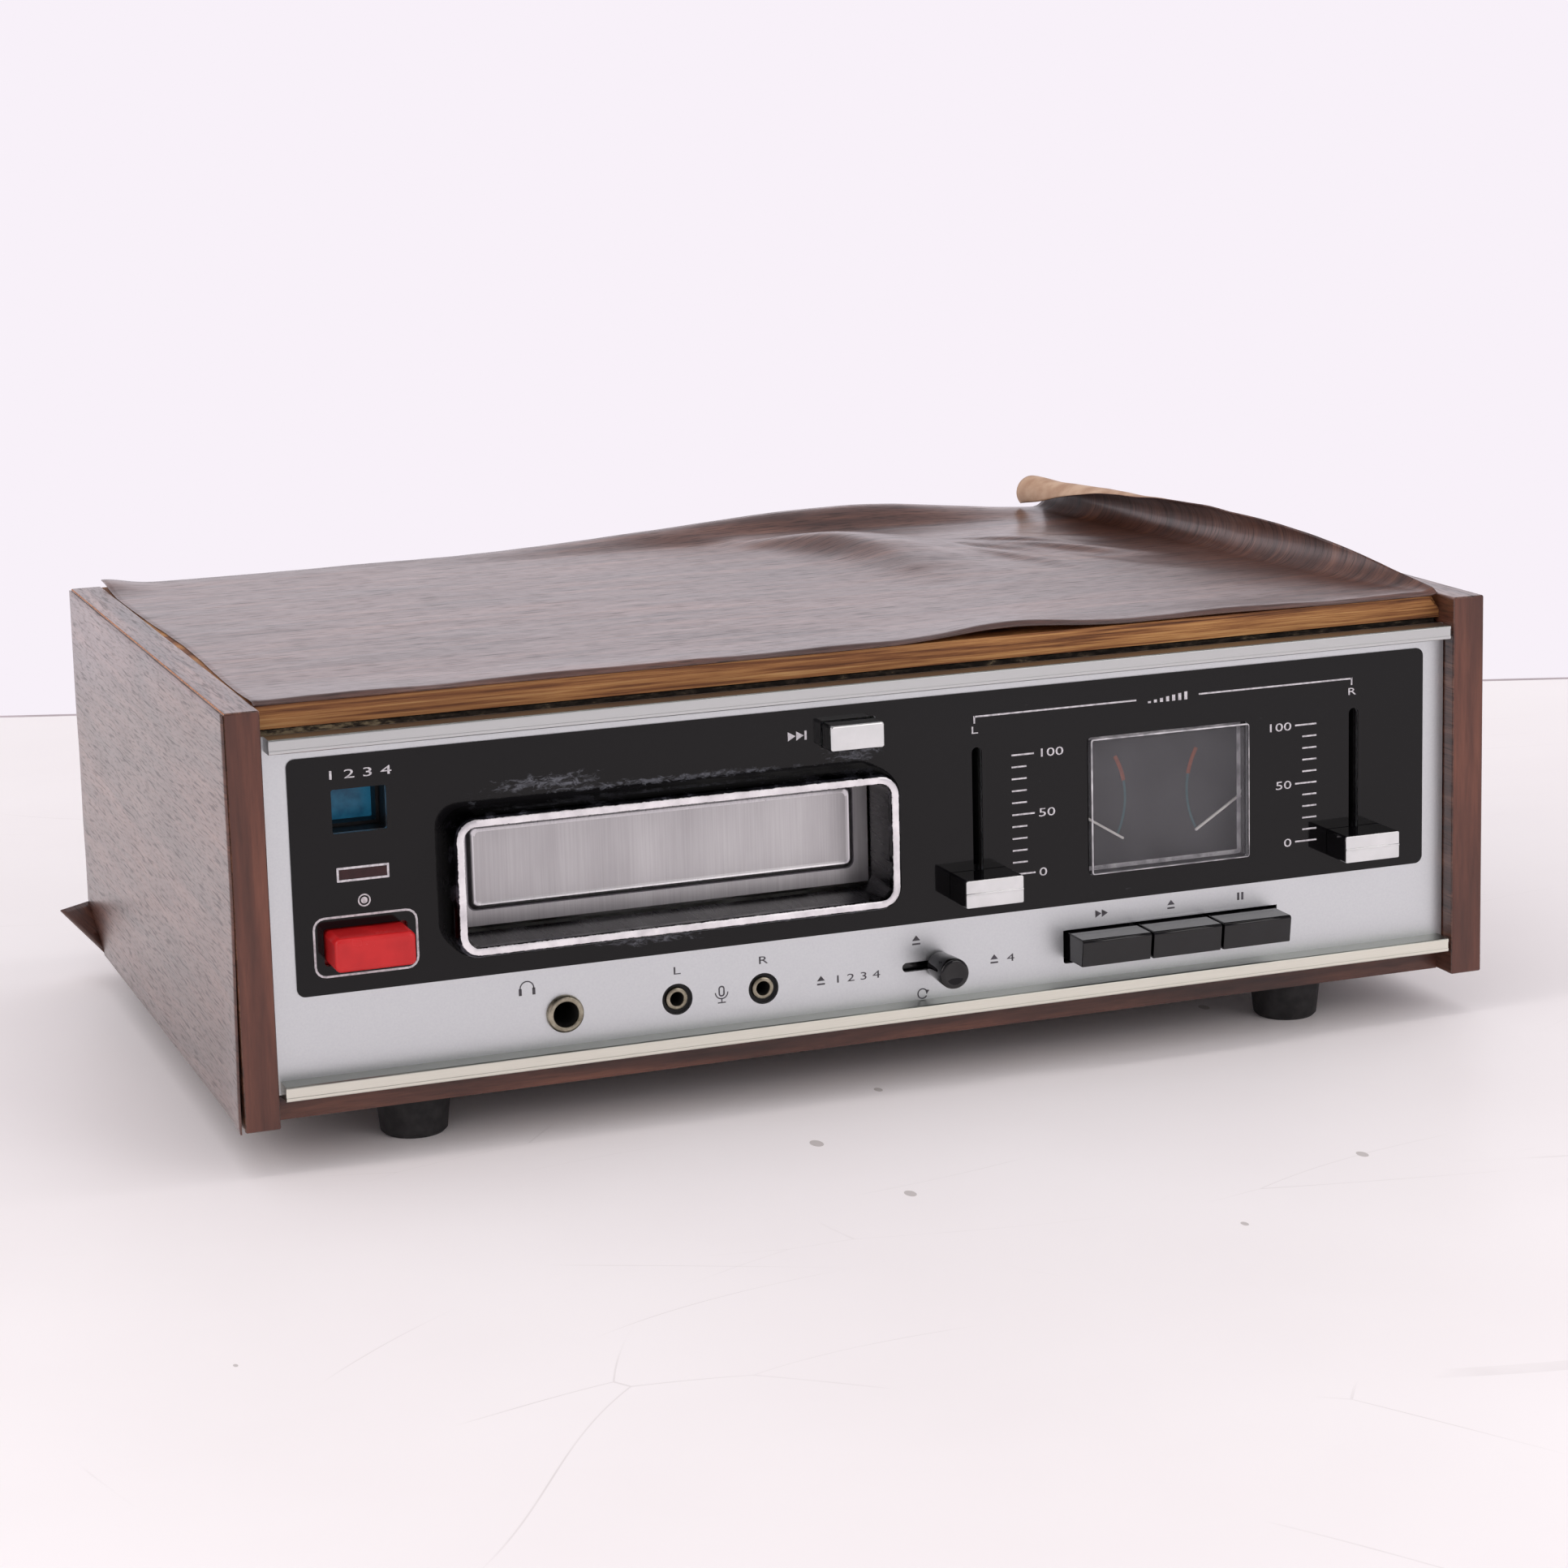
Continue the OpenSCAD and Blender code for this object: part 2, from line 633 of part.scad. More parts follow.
module black_overlay() {
  color(black) in_cabinet() upright(overlay_y, overlay_t) difference() {
    translate([0, foot_h + overlay_up + overlay_h / 2]) rounded(overlay_w, overlay_h, overlay_corner);
    panel_openings(0);
  }
}

// extruded bar: rounded nose, shallow channel between two lips
module trim_bar() {
  lip = 0.45;
  channel = 0.2;
  nose = 0.5;
  length = inner_w - 3;
  translate([-length / 2, face_y, 0]) rotate([90, 0, 90]) linear_extrude(length) difference() {
    union() {
      translate([-bar_d + nose, 0]) square([bar_d - nose, bar_h]);
      translate([-bar_d, nose]) square([bar_d, bar_h - 2 * nose]);
      for (z = [nose, bar_h - nose]) translate([-bar_d + nose, z]) circle(r = nose);
    }
    translate([-bar_d - 1, nose + lip]) square([1 + channel, bar_h - 2 * nose - 2 * lip]);
  }
}

module trim_bars() {
  color(champagne) in_cabinet() for (up = [bottom_bar_up, top_bar_up]) translate([0, 0, foot_h + up]) trim_bar();
}

// ---- cartridge slot ----

module slot_prism(y0, t, grow, r) {
  translate([slot_x, 0, foot_h + slot_up]) upright(y0, t) rounded(mouth_w + 2 * grow, mouth_h + 2 * grow, r);
}

module cartridge_bezel() {
  thin = 0.02;
  lip_y = face_y - lip_out;
  root_y = overlay_y;
  mouth_corner = 3.2;
  color(black) in_cabinet() difference() {
    union() {
      hull() {
        slot_prism(root_y - thin, thin, lip_w + bezel_swell, bezel_corner + bezel_swell, $fn = 32);
        slot_prism(root_y - 0.45 * lip_out, thin, lip_w + 0.85 * bezel_swell, bezel_corner + 0.85 * bezel_swell, $fn = 32);
      }
      hull() {
        slot_prism(root_y - 0.45 * lip_out - thin, thin, lip_w + 0.85 * bezel_swell,
          bezel_corner + 0.85 * bezel_swell, $fn = 32);
        slot_prism(lip_y, thin, lip_w, bezel_corner, $fn = 32);
      }
      slot_prism(root_y - 0.5, tube_end - root_y + 0.5, tube_wall, mouth_corner + tube_wall);
      // ears that carry the hinge pin
      for (sx = [-1, 1]) translate([slot_x + sx * (ear_in + ear_t / 2), 0, foot_h + pin_up]) {
        translate([-ear_t / 2, tube_end - 3, -4]) cube([ear_t, pin_y - tube_end + 3, 4 + barrel_r]);
        translate([-ear_t / 2, pin_y, 0]) rotate([0, 90, 0]) cylinder(r = barrel_r, h = ear_t);
      }
    }
    slot_prism(lip_y - 1, tube_end - lip_y + 2, 0, mouth_corner);
    translate([slot_x - ear_in - ear_t - 1, pin_y, foot_h + pin_up]) rotate([0, 90, 0])
      cylinder(r = hinge_pin_r + 0.02, h = 2 * (ear_in + ear_t + 1));
  }
}

module cartridge_door() {
  panel_h = pin_up - door_low;
  ridge = 5.3;
  ridge_out = 0.6;
  color(satin) in_cabinet() translate([slot_x, 0, foot_h]) difference() {
    union() {
      translate([-door_half, door_front, door_low]) cube([2 * door_half, door_t, panel_h]);
      // the embossed field, two steps with rounded corners
      translate([0, 0, door_low + 14.2]) for (s = [0, 1])
        upright(door_front - ridge_out * (s + 1) / 2, ridge_out)
          rounded(2 * (door_half - ridge - 0.6 * s), 20.6 - 1.2 * s, 1.6);
      translate([-door_half, pin_y, pin_up]) rotate([0, 90, 0]) cylinder(r = barrel_r, h = 2 * door_half);
    }
    translate([-door_half - 1, pin_y, pin_up]) rotate([0, 90, 0])
      cylinder(r = hinge_pin_r + running, h = 2 * door_half + 2);
    // gap in the hinge barrel for the spring
    translate([-spring_gap_half, door_front + door_t, pin_up - barrel_r - 1])
      cube([2 * spring_gap_half, 2 * barrel_r, 2 * barrel_r + 2]);
    translate([-spring_gap_half, door_front - 1, pin_up - barrel_r])
      cube([2 * spring_gap_half, 2 * barrel_r + 2, 2 * barrel_r + 2]);
  }
}

module door_pin() {
  half = ear_in + ear_t + 0.6;
  color(steel) in_cabinet() translate([slot_x - half, pin_y, foot_h + pin_up]) rotate([0, 90, 0])
    cylinder(r = hinge_pin_r, h = 2 * half);
}

module door_spring() {
  wire = 0.3;
  color(steel) in_cabinet() translate([slot_x, pin_y, foot_h + pin_up]) rotate([0, 0, 90])
    coil(-6, 6, hinge_pin_r + wire + 0.25, wire, 9);
}

// side rails and a sprung top strap that steer the cartridge to the head
module cartridge_guide() {
  rail_t = 1.2;
  rail_h = cartridge_h + 2.6;
  strap_d = 26;
  strap_hole_w = 60;
  strap_hole_d = 12;
  rail_l = guide_y1 - guide_y0;
  color(steel) in_cabinet() translate([slot_x, guide_y0, deck_top]) difference() {
    union() {
      for (sx = [-1, 1]) {
        translate([sx * (cartridge_w / 2 + rail_t / 2) - rail_t / 2, 0, 0]) cube([rail_t, rail_l, rail_h]);
        translate([sx * (cartridge_w / 2 + 4) - 4, 0, 0]) cube([8, rail_l, rail_t]);
      }
      translate([-cartridge_w / 2 - rail_t, rail_l - 8 - strap_d, rail_h - rail_t])
        cube([cartridge_w + 2 * rail_t, strap_d, rail_t]);
    }
    for (sx = [-1, 1], y = [8, rail_l - 8])
      translate([sx * (cartridge_w / 2 + 5.4), y, -1]) cylinder(r = 1.4, h = 4);
    translate([0, rail_l - 8 - strap_d / 2, rail_h - 2]) linear_extrude(4) rounded(strap_hole_w, strap_hole_d, 4);
  }
}

// ---- windows and lamps ----

module program_window() {
  wall = 1.6;
  deep = 13;
  color(black) in_cabinet() translate([record_x - 0.2, behind_y, foot_h + window_up]) difference() {
    upright(0, deep) square([window_w + 2 * wall, window_h + 2 * wall], center = true);
    upright(-1, 7) square([window_w + 0.2, window_h + 0.2], center = true);
    upright(-1, deep - 1) square([window_w - 1.4, window_h - 1.4], center = true);
    upright(deep - 2.4, 4) square([window_w + 0.4, window_h + 0.4], center = true);
  }
}

module program_lens() {
  color("#196e96") in_cabinet() translate([record_x - 0.2, behind_y + 13 - 2.4, foot_h + window_up])
    upright(0, 1.6) square([window_w + 0.3, window_h + 0.3], center = true);
}

lamp_board_y = behind_y + 25;

// a bulb from y0 back to the lamp board
module bulb(y0) {
  translate([0, y0, 0]) sphere(r = 1.9);
  bar_y(y0, lamp_board_y, 1.9);
  bar_y(lamp_board_y - 3.5, lamp_board_y, 2.4);
}

// four bulbs behind the lens and one for the record lamp, on a board held by two posts
module pilot_lamps() {
  mid = (window_up + lamp_up) / 2;
  color("#e6dcc0") in_cabinet() {
    for (i = [-1, 1], k = [-1, 1])
      translate([record_x - 0.2 + 3.6 * i, 0, foot_h + window_up + 2.9 * k]) bulb(behind_y + 16.6);
    translate([record_x, 0, foot_h + lamp_up]) bulb(behind_y + 5);
    translate([record_x, 0, foot_h + mid]) {
      upright(lamp_board_y - 0.1, 1.4) rounded(28, window_up - lamp_up + 12, 1);
      for (sx = [-1, 1]) translate([sx * 11.5, 0, 0]) bar_y(behind_y, lamp_board_y, 1.6);
    }
  }
}

module record_lens() {
  color("#6a2626") in_cabinet() translate([record_x, 0, foot_h + lamp_up]) {
    upright(overlay_y, behind_y - overlay_y) square([lamp_w, lamp_h], center = true);
    upright(behind_y, 1.2) square([lamp_w + 3, lamp_h + 2.4], center = true);
  }
}

// ---- buttons ----

// a moulded cap, a stop flange behind the panel, and a stem into its switch
module push_cap(w, h, out, edge) {
  translate([0, face_y - out, 0]) soft_block(w, behind_y - face_y + out + block_in, h, edge);
  translate([-w / 2 - 1.6, behind_y + contact_gap, -h / 2 - 1.6]) cube([w + 3.2, 1.6, h + 3.2]);
  translate([-stem / 2, behind_y + 1, -stem / 2]) cube([stem, switch_y - behind_y + 5, stem]);
}

module record_button() {
  color("#d72323") in_cabinet() translate([record_x, 0, foot_h + record_up])
    push_cap(record_w, record_h, press_out - 0.2, 0.7);
}

module selector_button() {
  color("#c9c9cc") in_cabinet() translate([selector_x, 0, foot_h + selector_up])
    push_cap(selector_w, selector_h, selector_out, 0.4);
}

// switch body on a bent strap that is fixed behind the steel panel
module push_switch(w) {
  body = 12;
  leg = w / 2 + 3;
  difference() {
    union() {
      translate([-body / 2, switch_y, -body / 2]) cube([body, 20, body]);
      for (sx = [-1, 1]) {
        translate([sx * leg - 0.6, behind_y, -3]) cube([1.2, switch_y - behind_y + 1.2, 6]);
        translate([sx * (leg + 2.5) - 3, behind_y, -3]) cube([6, 1.2, 6]);
      }
      translate([-leg, switch_y, -3]) cube([2 * leg, 1.2, 6]);
      for (sx = [-1, 1]) translate([sx * 3, switch_y + 20, 0]) bar_y(0, 4, 0.7);
    }
    translate([-stem / 2 - 0.3, switch_y - 1, -stem / 2 - 0.3]) cube([stem + 0.6, 14, stem + 0.6]);
  }
}

module push_switches() {
  color("#8a8378") in_cabinet() {
    translate([record_x, 0, foot_h + record_up]) push_switch(record_w);
    translate([selector_x, 0, foot_h + selector_up]) push_switch(selector_w);
  }
}

// ---- volume controls ----

tongue_w = 2;
tongue_h = 5;

module volume_knob(x) {
  cap_t = 0.8;
  front = face_y - knob_out;
  depth = overlay_y - slip - front;
  color(black) in_cabinet() translate([x, 0, foot_h + volume_up]) difference() {
    union() {
      translate([0, front + cap_t, 0]) soft_block(knob_w, depth - cap_t, knob_h, 0.4);
      // metal face with a raised line across it
      upright(front + 0.25, cap_t + 0.2) rounded(knob_w, knob_h, 0.4);
      translate([-knob_w / 2, front, 0]) rotate([0, 90, 0]) linear_extrude(knob_w)
        polygon([[-0.35, 0.3], [0, 0], [0.35, 0.3], [0.35, 0.6], [-0.35, 0.6]]);
    }
    translate([-tongue_w / 2 - 0.02, front + 4, -tongue_h / 2 - 0.02])
      cube([tongue_w + 0.04, knob_out, tongue_h + 0.04]);
  }
}

module volume_knob_left() {
  volume_knob(volume_left_x);
}

module volume_knob_right() {
  volume_knob(volume_right_x);
}

// steel tongue from the knob to the wiper block inside the control
module volume_lever(x) {
  front = face_y - knob_out + 4;
  color(steel) in_cabinet() translate([x, 0, foot_h + volume_up]) {
    translate([-tongue_w / 2, front, -tongue_h / 2]) cube([tongue_w, behind_y + 5 - front, tongue_h]);
    translate([-2.2, behind_y + 2.4, -4]) cube([4.4, 4, 8]);
  }
}

module volume_lever_left() {
  volume_lever(volume_left_x);
}

module volume_lever_right() {
  volume_lever(volume_right_x);
}

module slide_pots() {
  pot_l = volume_travel + 26;
  pot_w = 9;
  pot_d = 9;
  color("#9a9a98") in_cabinet() for (x = [volume_left_x, volume_right_x])
    translate([x, behind_y, foot_h + volume_up + volume_travel / 2]) difference() {
      union() {
        translate([-pot_w / 2, 0, -pot_l / 2]) cube([pot_w, pot_d, pot_l]);
        for (sz = [-1, 1], sx = [-1, 1]) translate([sx * 2.6, pot_d, sz * (pot_l / 2 - 5)]) bar_y(0, 4, 0.6);
      }
      translate([-2.7, 1.6, -volume_travel / 2 - 5]) cube([5.4, 5.6, volume_travel + 10]);
      translate([-1.4, -1, -volume_travel / 2 - 4.2]) cube([2.8, 4, volume_travel + 8.4]);
    }
}

// ---- level meter ----

needle_up = meter_up - 2.4;
needle_pin_r = 0.5;

module meter_window() {
  wall = 1.2;
  front = face_y - meter_out;
  color("#cfd2d6") in_cabinet() translate([meter_x, 0, foot_h + meter_up]) difference() {
    upright(front, face_y + 3.6 - front) rounded(meter_w, meter_h, 0.8);
    upright(front + wall, 20) square([meter_w - 2 * wall, meter_h - 2 * wall], center = true);
  }
}

module meter_scale() {
  color("#5c5a5e") in_cabinet() translate([meter_x, 0, foot_h + meter_up]) upright(scale_y, 0.5) difference() {
    square([meter_case_w - 3.2, meter_case_h - 3.2], center = true);
    for (sx = [-1, 1]) translate([sx * needle_side, needle_up - meter_up]) circle(r = needle_pin_r + 0.05);
  }
}

module meter_case() {
  color("#4a484b") in_cabinet() translate([meter_x, 0, foot_h + meter_up]) {
    difference() {
      upright(behind_y, 20) rounded(meter_case_w, meter_case_h, 2);
      upright(behind_y - 1, face_y + 3.7 - behind_y + 1) square([meter_w + 2 * slip, meter_h + 2 * slip], center = true);
      upright(face_y + 3.7, 17) square([meter_case_w - 3, meter_case_h - 3], center = true);
    }
    // magnet blocks behind the scale carry it, and the pivots stand through it
    for (sx = [-1, 1]) translate([sx * (needle_side - 7.5), 0, -3]) upright(scale_y + 0.5, 9.2) rounded(17, 26, 3);
    upright(scale_y + 9, behind_y + 20 - scale_y - 9) square([meter_case_w - 5, meter_case_h - 5], center = true);
    for (sx = [-1, 1]) translate([sx * needle_side, 0, needle_up - meter_up])
      bar_y(needle_y - 1.2, scale_y + 2, needle_pin_r);
  }
}

module needle(side) {
  color("#eceae4") in_cabinet() translate([meter_x + side * needle_side, needle_y, foot_h + needle_up]) difference() {
    rotate([0, needle_rest * -side, 0]) union() {
      bar_y(-0.5, 0.5, 1);
      translate([side < 0 ? 0 : -needle_len, -0.25, -0.3]) cube([needle_len, 0.5, 0.6]);
    }
    bar_y(-2, 2, needle_pin_r + running);
  }
}

module needle_left() {
  needle(-1);
}

module needle_right() {
  needle(1);
}

// ---- sockets ----

module monitor_jack() {
  color(nickel) in_cabinet() translate([monitor_x, 0, foot_h + jack_up]) difference() {
    union() {
      translate([0, face_y, 0]) rotate([90, 0, 0]) rotate_extrude()
        polygon([[0, 0], [4.95, 0], [4.95, 0.9], [4.5, 1.4], [0, 1.4]]);
      bar_y(face_y - 0.1, behind_y + 2, monitor_thread_r);
      translate([-7, behind_y, -7]) cube([14, 22, 14]);
      for (sx = [-1, 1]) translate([sx * 4 - 1, behind_y + 21, 2]) cube([2, 7, 0.8]);
    }
    bar_y(face_y - 3, behind_y + 19, monitor_r);
  }
}

module mic_jacks() {
  color(nickel) in_cabinet() for (x = mic_x) translate([x, 0, foot_h + jack_up]) difference() {
    union() {
      bar_y(face_y + 0.3, behind_y + 1, mic_thread_r);
      translate([-5, behind_y, -5]) cube([10, 14, 10]);
      for (sx = [-1, 1]) translate([sx * 2.6 - 0.8, behind_y + 13, 1]) cube([1.6, 6, 0.6]);
    }
    bar_y(face_y - 1, behind_y + 12, mic_r);
  }
}

phono_places = [for (i = [0:1], k = [0:1])
  [socket_x + i * socket_pitch, foot_h + socket_up + k * socket_row]];

// four sockets on one insulating plate
module phono_sockets() {
  plate_y = back_y - tray_t - 1.6;
  color(nickel) in_cabinet() {
    for (p = phono_places) translate([p.x, 0, p.y]) difference() {
      union() {
        bar_y(plate_y - 5, back_y + 7.6, 4.1);
        bar_y(plate_y - 1.6, plate_y, 6.5);
      }
      bar_y(back_y - 2, back_y + 9, 1.7);
    }
    upright(plate_y - 1.2, 0.9) difference() {
      translate([socket_x + socket_pitch / 2, foot_h + socket_up + socket_row / 2])
        rounded(socket_pitch + 16, socket_row + 16, 2);
      for (p = phono_places) translate(p) circle(r = 3.9);
    }
  }
}

module cord_grommet() {
  color(black) in_cabinet() translate([cord_x, back_y + back_t / 2, foot_h + cord_up]) rotate([90, 0, 0])
    rotate_extrude() polygon([[cord_r, -3.4], [grommet_r + 1, -3.4], [grommet_r + 2, -2.4],
      [grommet_r + 2, -back_t / 2 - 0.02], [grommet_r, -back_t / 2 - 0.02], [grommet_r, back_t / 2 + 0.02],
      [grommet_r + 1.2, back_t / 2 + 0.02], [grommet_r + 1.2, 2.4], [cord_r, 2.4]]);
}

// ---- automatic eject lever ----

module auto_eject_lever() {
  front = face_y - lever_out;
  knob_back = face_y - 1.2;
  color(black) in_cabinet() translate([lever_x + lever_travel, 0, foot_h + lever_up]) {
    // turned knob, a little narrower at the panel, with a crowned end
    translate([0, knob_back, 0]) rotate([90, 0, 0]) rotate_extrude()
      polygon([[0, 0], [lever_r - 0.6, 0], [lever_r, knob_back - front - 0.9],
        [lever_r - 0.3, knob_back - front - 0.25], [lever_r - 0.9, knob_back - front], [0, knob_back - front]]);
    bar_y(knob_back - 1, behind_y + 1, lever_stem_r);
    translate([0, behind_y + contact_gap, 0]) upright(0, 1.2) rounded(2 * lever_travel + 12, 9, 1.5);
    translate([-2, behind_y + 1, -2]) cube([4, 6, 4]);
  }
}

// ---- piano keys ----

module piano_key(i) {
  front = face_y - press_out;
  slope = 1;
  block = behind_y - front + block_in_key;
  nose = 0.8;
  color(black) in_cabinet() translate([key_x + i * key_pitch, 0, foot_h + key_up]) {
    // the cap leans back towards its lower edge
    intersection() {
      translate([-key_w / 2, front, -key_h / 2]) rotate([90, 0, 90]) linear_extrude(key_w) union() {
        polygon([[slope, 0], [block, 0], [block, key_h], [nose, key_h], [0, key_h - nose]]);
        translate([nose, key_h - nose]) circle(r = nose);
      }
      translate([0, front, -key_h]) linear_extrude(2 * key_h) translate([0, block / 2 + 1])
        rounded(key_w, block + 2, 0.5);
    }
    translate([-key_w / 2 + 0.5, behind_y + contact_gap, -key_h / 2]) cube([key_w - 1, 1.4, key_h + 3.6]);
    translate([-key_bar / 2, behind_y + 1, -key_bar / 2]) cube([key_bar, frame_y1 + 7 - behind_y, key_bar]);
  }
}

module fast_forward_key() {
  piano_key(-1);
}

module eject_key() {
  piano_key(0);
}

module pause_key() {
  piano_key(1);
}

// two slotted walls on a base that slides the key bars
module key_frame() {
  wide = 3 * key_pitch + 6;
  low = tray_top;
  high = foot_h + key_up + 10;
  slot = key_bar + 0.6;
  color(steel) in_cabinet() difference() {
    union() {
      translate([key_x - wide / 2, frame_y0, low]) cube([wide, frame_y1 - frame_y0, frame_t]);
      for (y = [frame_y0, frame_y1 - frame_t]) translate([key_x - wide / 2, y, low]) cube([wide, frame_t, high - low]);
    }
    for (i = [-1:1]) translate([key_x + i * key_pitch - slot / 2, frame_y0 - 1, foot_h + key_up - slot / 2])
      cube([slot, frame_y1 - frame_y0 + 2, slot]);
    for (i = [-1, 1]) translate([key_x + i * (wide / 2 - 8), (frame_y0 + frame_y1) / 2, low - 1]) cylinder(r = 1.7, h = 4);
  }
}

// coil springs behind the three keys and the two buttons
module return_springs() {
  color(steel) in_cabinet() {
    for (i = [-1:1]) translate([key_x + i * key_pitch, 0, foot_h + key_up])
      coil(behind_y + block_in_key + 0.1, frame_y0 - 0.2, key_bar / 2 * sqrt(2) + spring_wire + 0.3, spring_wire, 6);
    for (p = [[record_x, record_up], [selector_x, selector_up]]) translate([p.x, 0, foot_h + p.y])
      coil(behind_y + block_in + 0.1, switch_y - 0.2, stem / 2 * sqrt(2) + spring_wire + 0.3, spring_wire, 6);
  }
}

// ---- tape drive ----

leg_w = 16;
leg_back = 26;
notch_w = 34;
notch_d = 8;

module deck_plate() {
  color(steel) in_cabinet() difference() {
    union() {
      translate([deck_x0, deck_y0, deck_low]) cube([deck_x1 - deck_x0, deck_y1 - deck_y0, deck_t]);
      // folded legs down to the tray
      for (x = [deck_x0, deck_x1 - deck_t], y = [deck_y0 + leg_back, deck_y1 - leg_w])
        translate([x, y, tray_top]) cube([deck_t, leg_w, deck_low - tray_top + 0.5]);
      translate([cam_x, cam_y, deck_low]) cylinder(r = cam_axle_r, h = deck_t + 9);
      translate([post_x, post_y, deck_low]) cylinder(r = post_r, h = deck_t + 27);
    }
    translate([capstan_x, capstan_y, deck_low - 1]) cylinder(r = bearing_r + 0.05, h = deck_t + 2);
    translate([motor_x, motor_y, deck_low - 1]) cylinder(r = 7, h = deck_t + 2);
    // finger notch that clears the cartridge's tape window
    translate([slot_x - 12, guide_y1 - notch_d / 2, deck_low - 1]) linear_extrude(deck_t + 2)
      rounded(notch_w, notch_d, notch_d / 3);
  }
}

bearing_r = 4;

// sintered sleeve with a flange, and the thrust bracket under the shaft
module capstan_bearing() {
  flange = 8;
  color(brass) in_cabinet() {
    translate([capstan_x, capstan_y, 0]) difference() {
      union() {
        translate([0, 0, deck_low - 4]) cylinder(r = bearing_r, h = deck_t + 9);
        translate([0, 0, deck_top]) cylinder(r = flange, h = 1.5);
      }
      translate([0, 0, deck_low - 5]) cylinder(r = capstan_r + running, h = deck_t + 12);
    }
    translate([capstan_x, capstan_y, tray_top]) difference() {
      union() {
        translate([-26, -5, 0]) cube([52, 10, 1.2]);
        translate([-5, -5, 0]) cube([10, 10, flywheel_z - 3.4 - tray_top]);
      }
      translate([0, 0, flywheel_z - 5.4 - tray_top]) cylinder(r = capstan_r + running, h = 4);
    }
  }
}

module capstan() {
  low = flywheel_z - 5.2;
  color("#d5d5d5") in_cabinet() translate([capstan_x, capstan_y, low]) cylinder(r = capstan_r, h = deck_top + 21 - low);
}

module flywheel() {
  color("#b8b8ba") in_cabinet() translate([capstan_x, capstan_y, flywheel_z]) rotate_extrude($fn = 96)
    polygon([[capstan_r, -2], [7, -2], [7, 1.5], [flywheel_r - 8, 3], [flywheel_r - 8, 0], [flywheel_r, 0],
      [flywheel_r, (flywheel_t - belt_h) / 2 - 0.6], [flywheel_r - rim_groove, (flywheel_t - belt_h) / 2 - 0.2],
      [flywheel_r - rim_groove, (flywheel_t + belt_h) / 2 + 0.2], [flywheel_r, (flywheel_t + belt_h) / 2 + 0.6],
      [flywheel_r, flywheel_t], [flywheel_r - 8, flywheel_t], [flywheel_r - 8, 7], [7, 8.5], [7, flywheel_t + 1],
      [capstan_r, flywheel_t + 1]]);
}

module motor() {
  color("#8f9294") in_cabinet() translate([motor_x, motor_y, deck_top]) {
    bore = motor_shaft_r + running;
    rotate_extrude() polygon([[3, 0], [motor_r, 0], [motor_r, motor_h - 3], [motor_r - 2, motor_h], [6, motor_h],
      [6, motor_h + 2], [0, motor_h + 2], [0, motor_h - 1.5], [bore, motor_h - 1.5], [bore, 4], [3, 4]]);
    for (a = [30:120:270]) rotate(a) translate([motor_r - 1, -3.5, 0]) cube([5.5, 7, 1.5]);
  }
}

module motor_pulley() {
  color(brass) in_cabinet() translate([motor_x, motor_y, 0]) {
    translate([0, 0, belt_z - 1.5]) rotate_extrude() polygon([[0, 0], [pulley_r + 1, 0], [pulley_r + 1, 0.8],
      [pulley_r, 1.3], [pulley_r, belt_h + 1.7], [pulley_r + 1, belt_h + 2.2], [pulley_r + 1, belt_h + 3], [0, belt_h + 3]]);
    translate([0, 0, belt_z]) cylinder(r = motor_shaft_r, h = deck_top + motor_h - 2 - belt_z);
  }
}

// outline of a belt round the flywheel's groove and the pulley
module belt_outline(grow) {
  big = flywheel_r - rim_groove + grow;
  small = pulley_r + grow;
  run = norm([motor_x - capstan_x, motor_y - capstan_y]);
  turn = atan2(motor_y - capstan_y, motor_x - capstan_x);
  open = acos((big - small) / run);
  translate([capstan_x, capstan_y]) rotate(turn) {
    circle(r = big, $fn = 96);
    translate([run, 0]) circle(r = small);
    polygon([for (s = [-1, 1]) each s < 0
      ? [big * [cos(open), -sin(open)], [run, 0] + small * [cos(open), -sin(open)]]
      : [[run, 0] + small * [cos(open), sin(open)], big * [cos(open), sin(open)]]]);
  }
}

module drive_belt() {
  off = 0.15;
  color(black) in_cabinet() translate([0, 0, belt_z]) linear_extrude(belt_h) difference() {
    belt_outline(off + belt_t);
    belt_outline(off);
  }
}

module sector(r, a0, a1) {
  intersection() {
    circle(r = r);
    polygon([[0, 0], for (i = [0:6]) let (a = a0 + (a1 - a0) * i / 6) 2 * r * [cos(a), sin(a)]]);
  }
}

// ratchet wheel whose top is a four-step stair; each step lifts the head by one track
module track_cam() {
  teeth = 8;
  hub = 3.4;
  stair_r = 7.4;
  stair_end = 255;
  color("#e4ddc8") in_cabinet() translate([cam_x, cam_y, cam_z]) difference() {
    union() {
      linear_extrude(cam_t) {
        circle(r = cam_r - 1.2);
        for (i = [0:teeth - 1]) rotate(i * 360 / teeth)
          polygon([[0, 0], [cam_r - 1.6, 0], [cam_r, 0.4], [(cam_r - 1.4) * cos(40), (cam_r - 1.4) * sin(40)]]);
      }
      for (k = [1:3]) translate([0, 0, cam_t + (k - 1) * track_step - 0.3])
        linear_extrude(track_step + 0.3) sector(stair_r, stair_end - 90 * (4 - k), stair_end);
      cylinder(r = hub, h = cam_t + 3.2);
    }
    translate([0, 0, -1]) cylinder(r = cam_axle_r + running, h = cam_t + 6);
  }
}

carriage_z = deck_top + 8.5;
head_w = 13;
head_h = 15;
head_d = 9;
head_y = guide_y1 + 2;

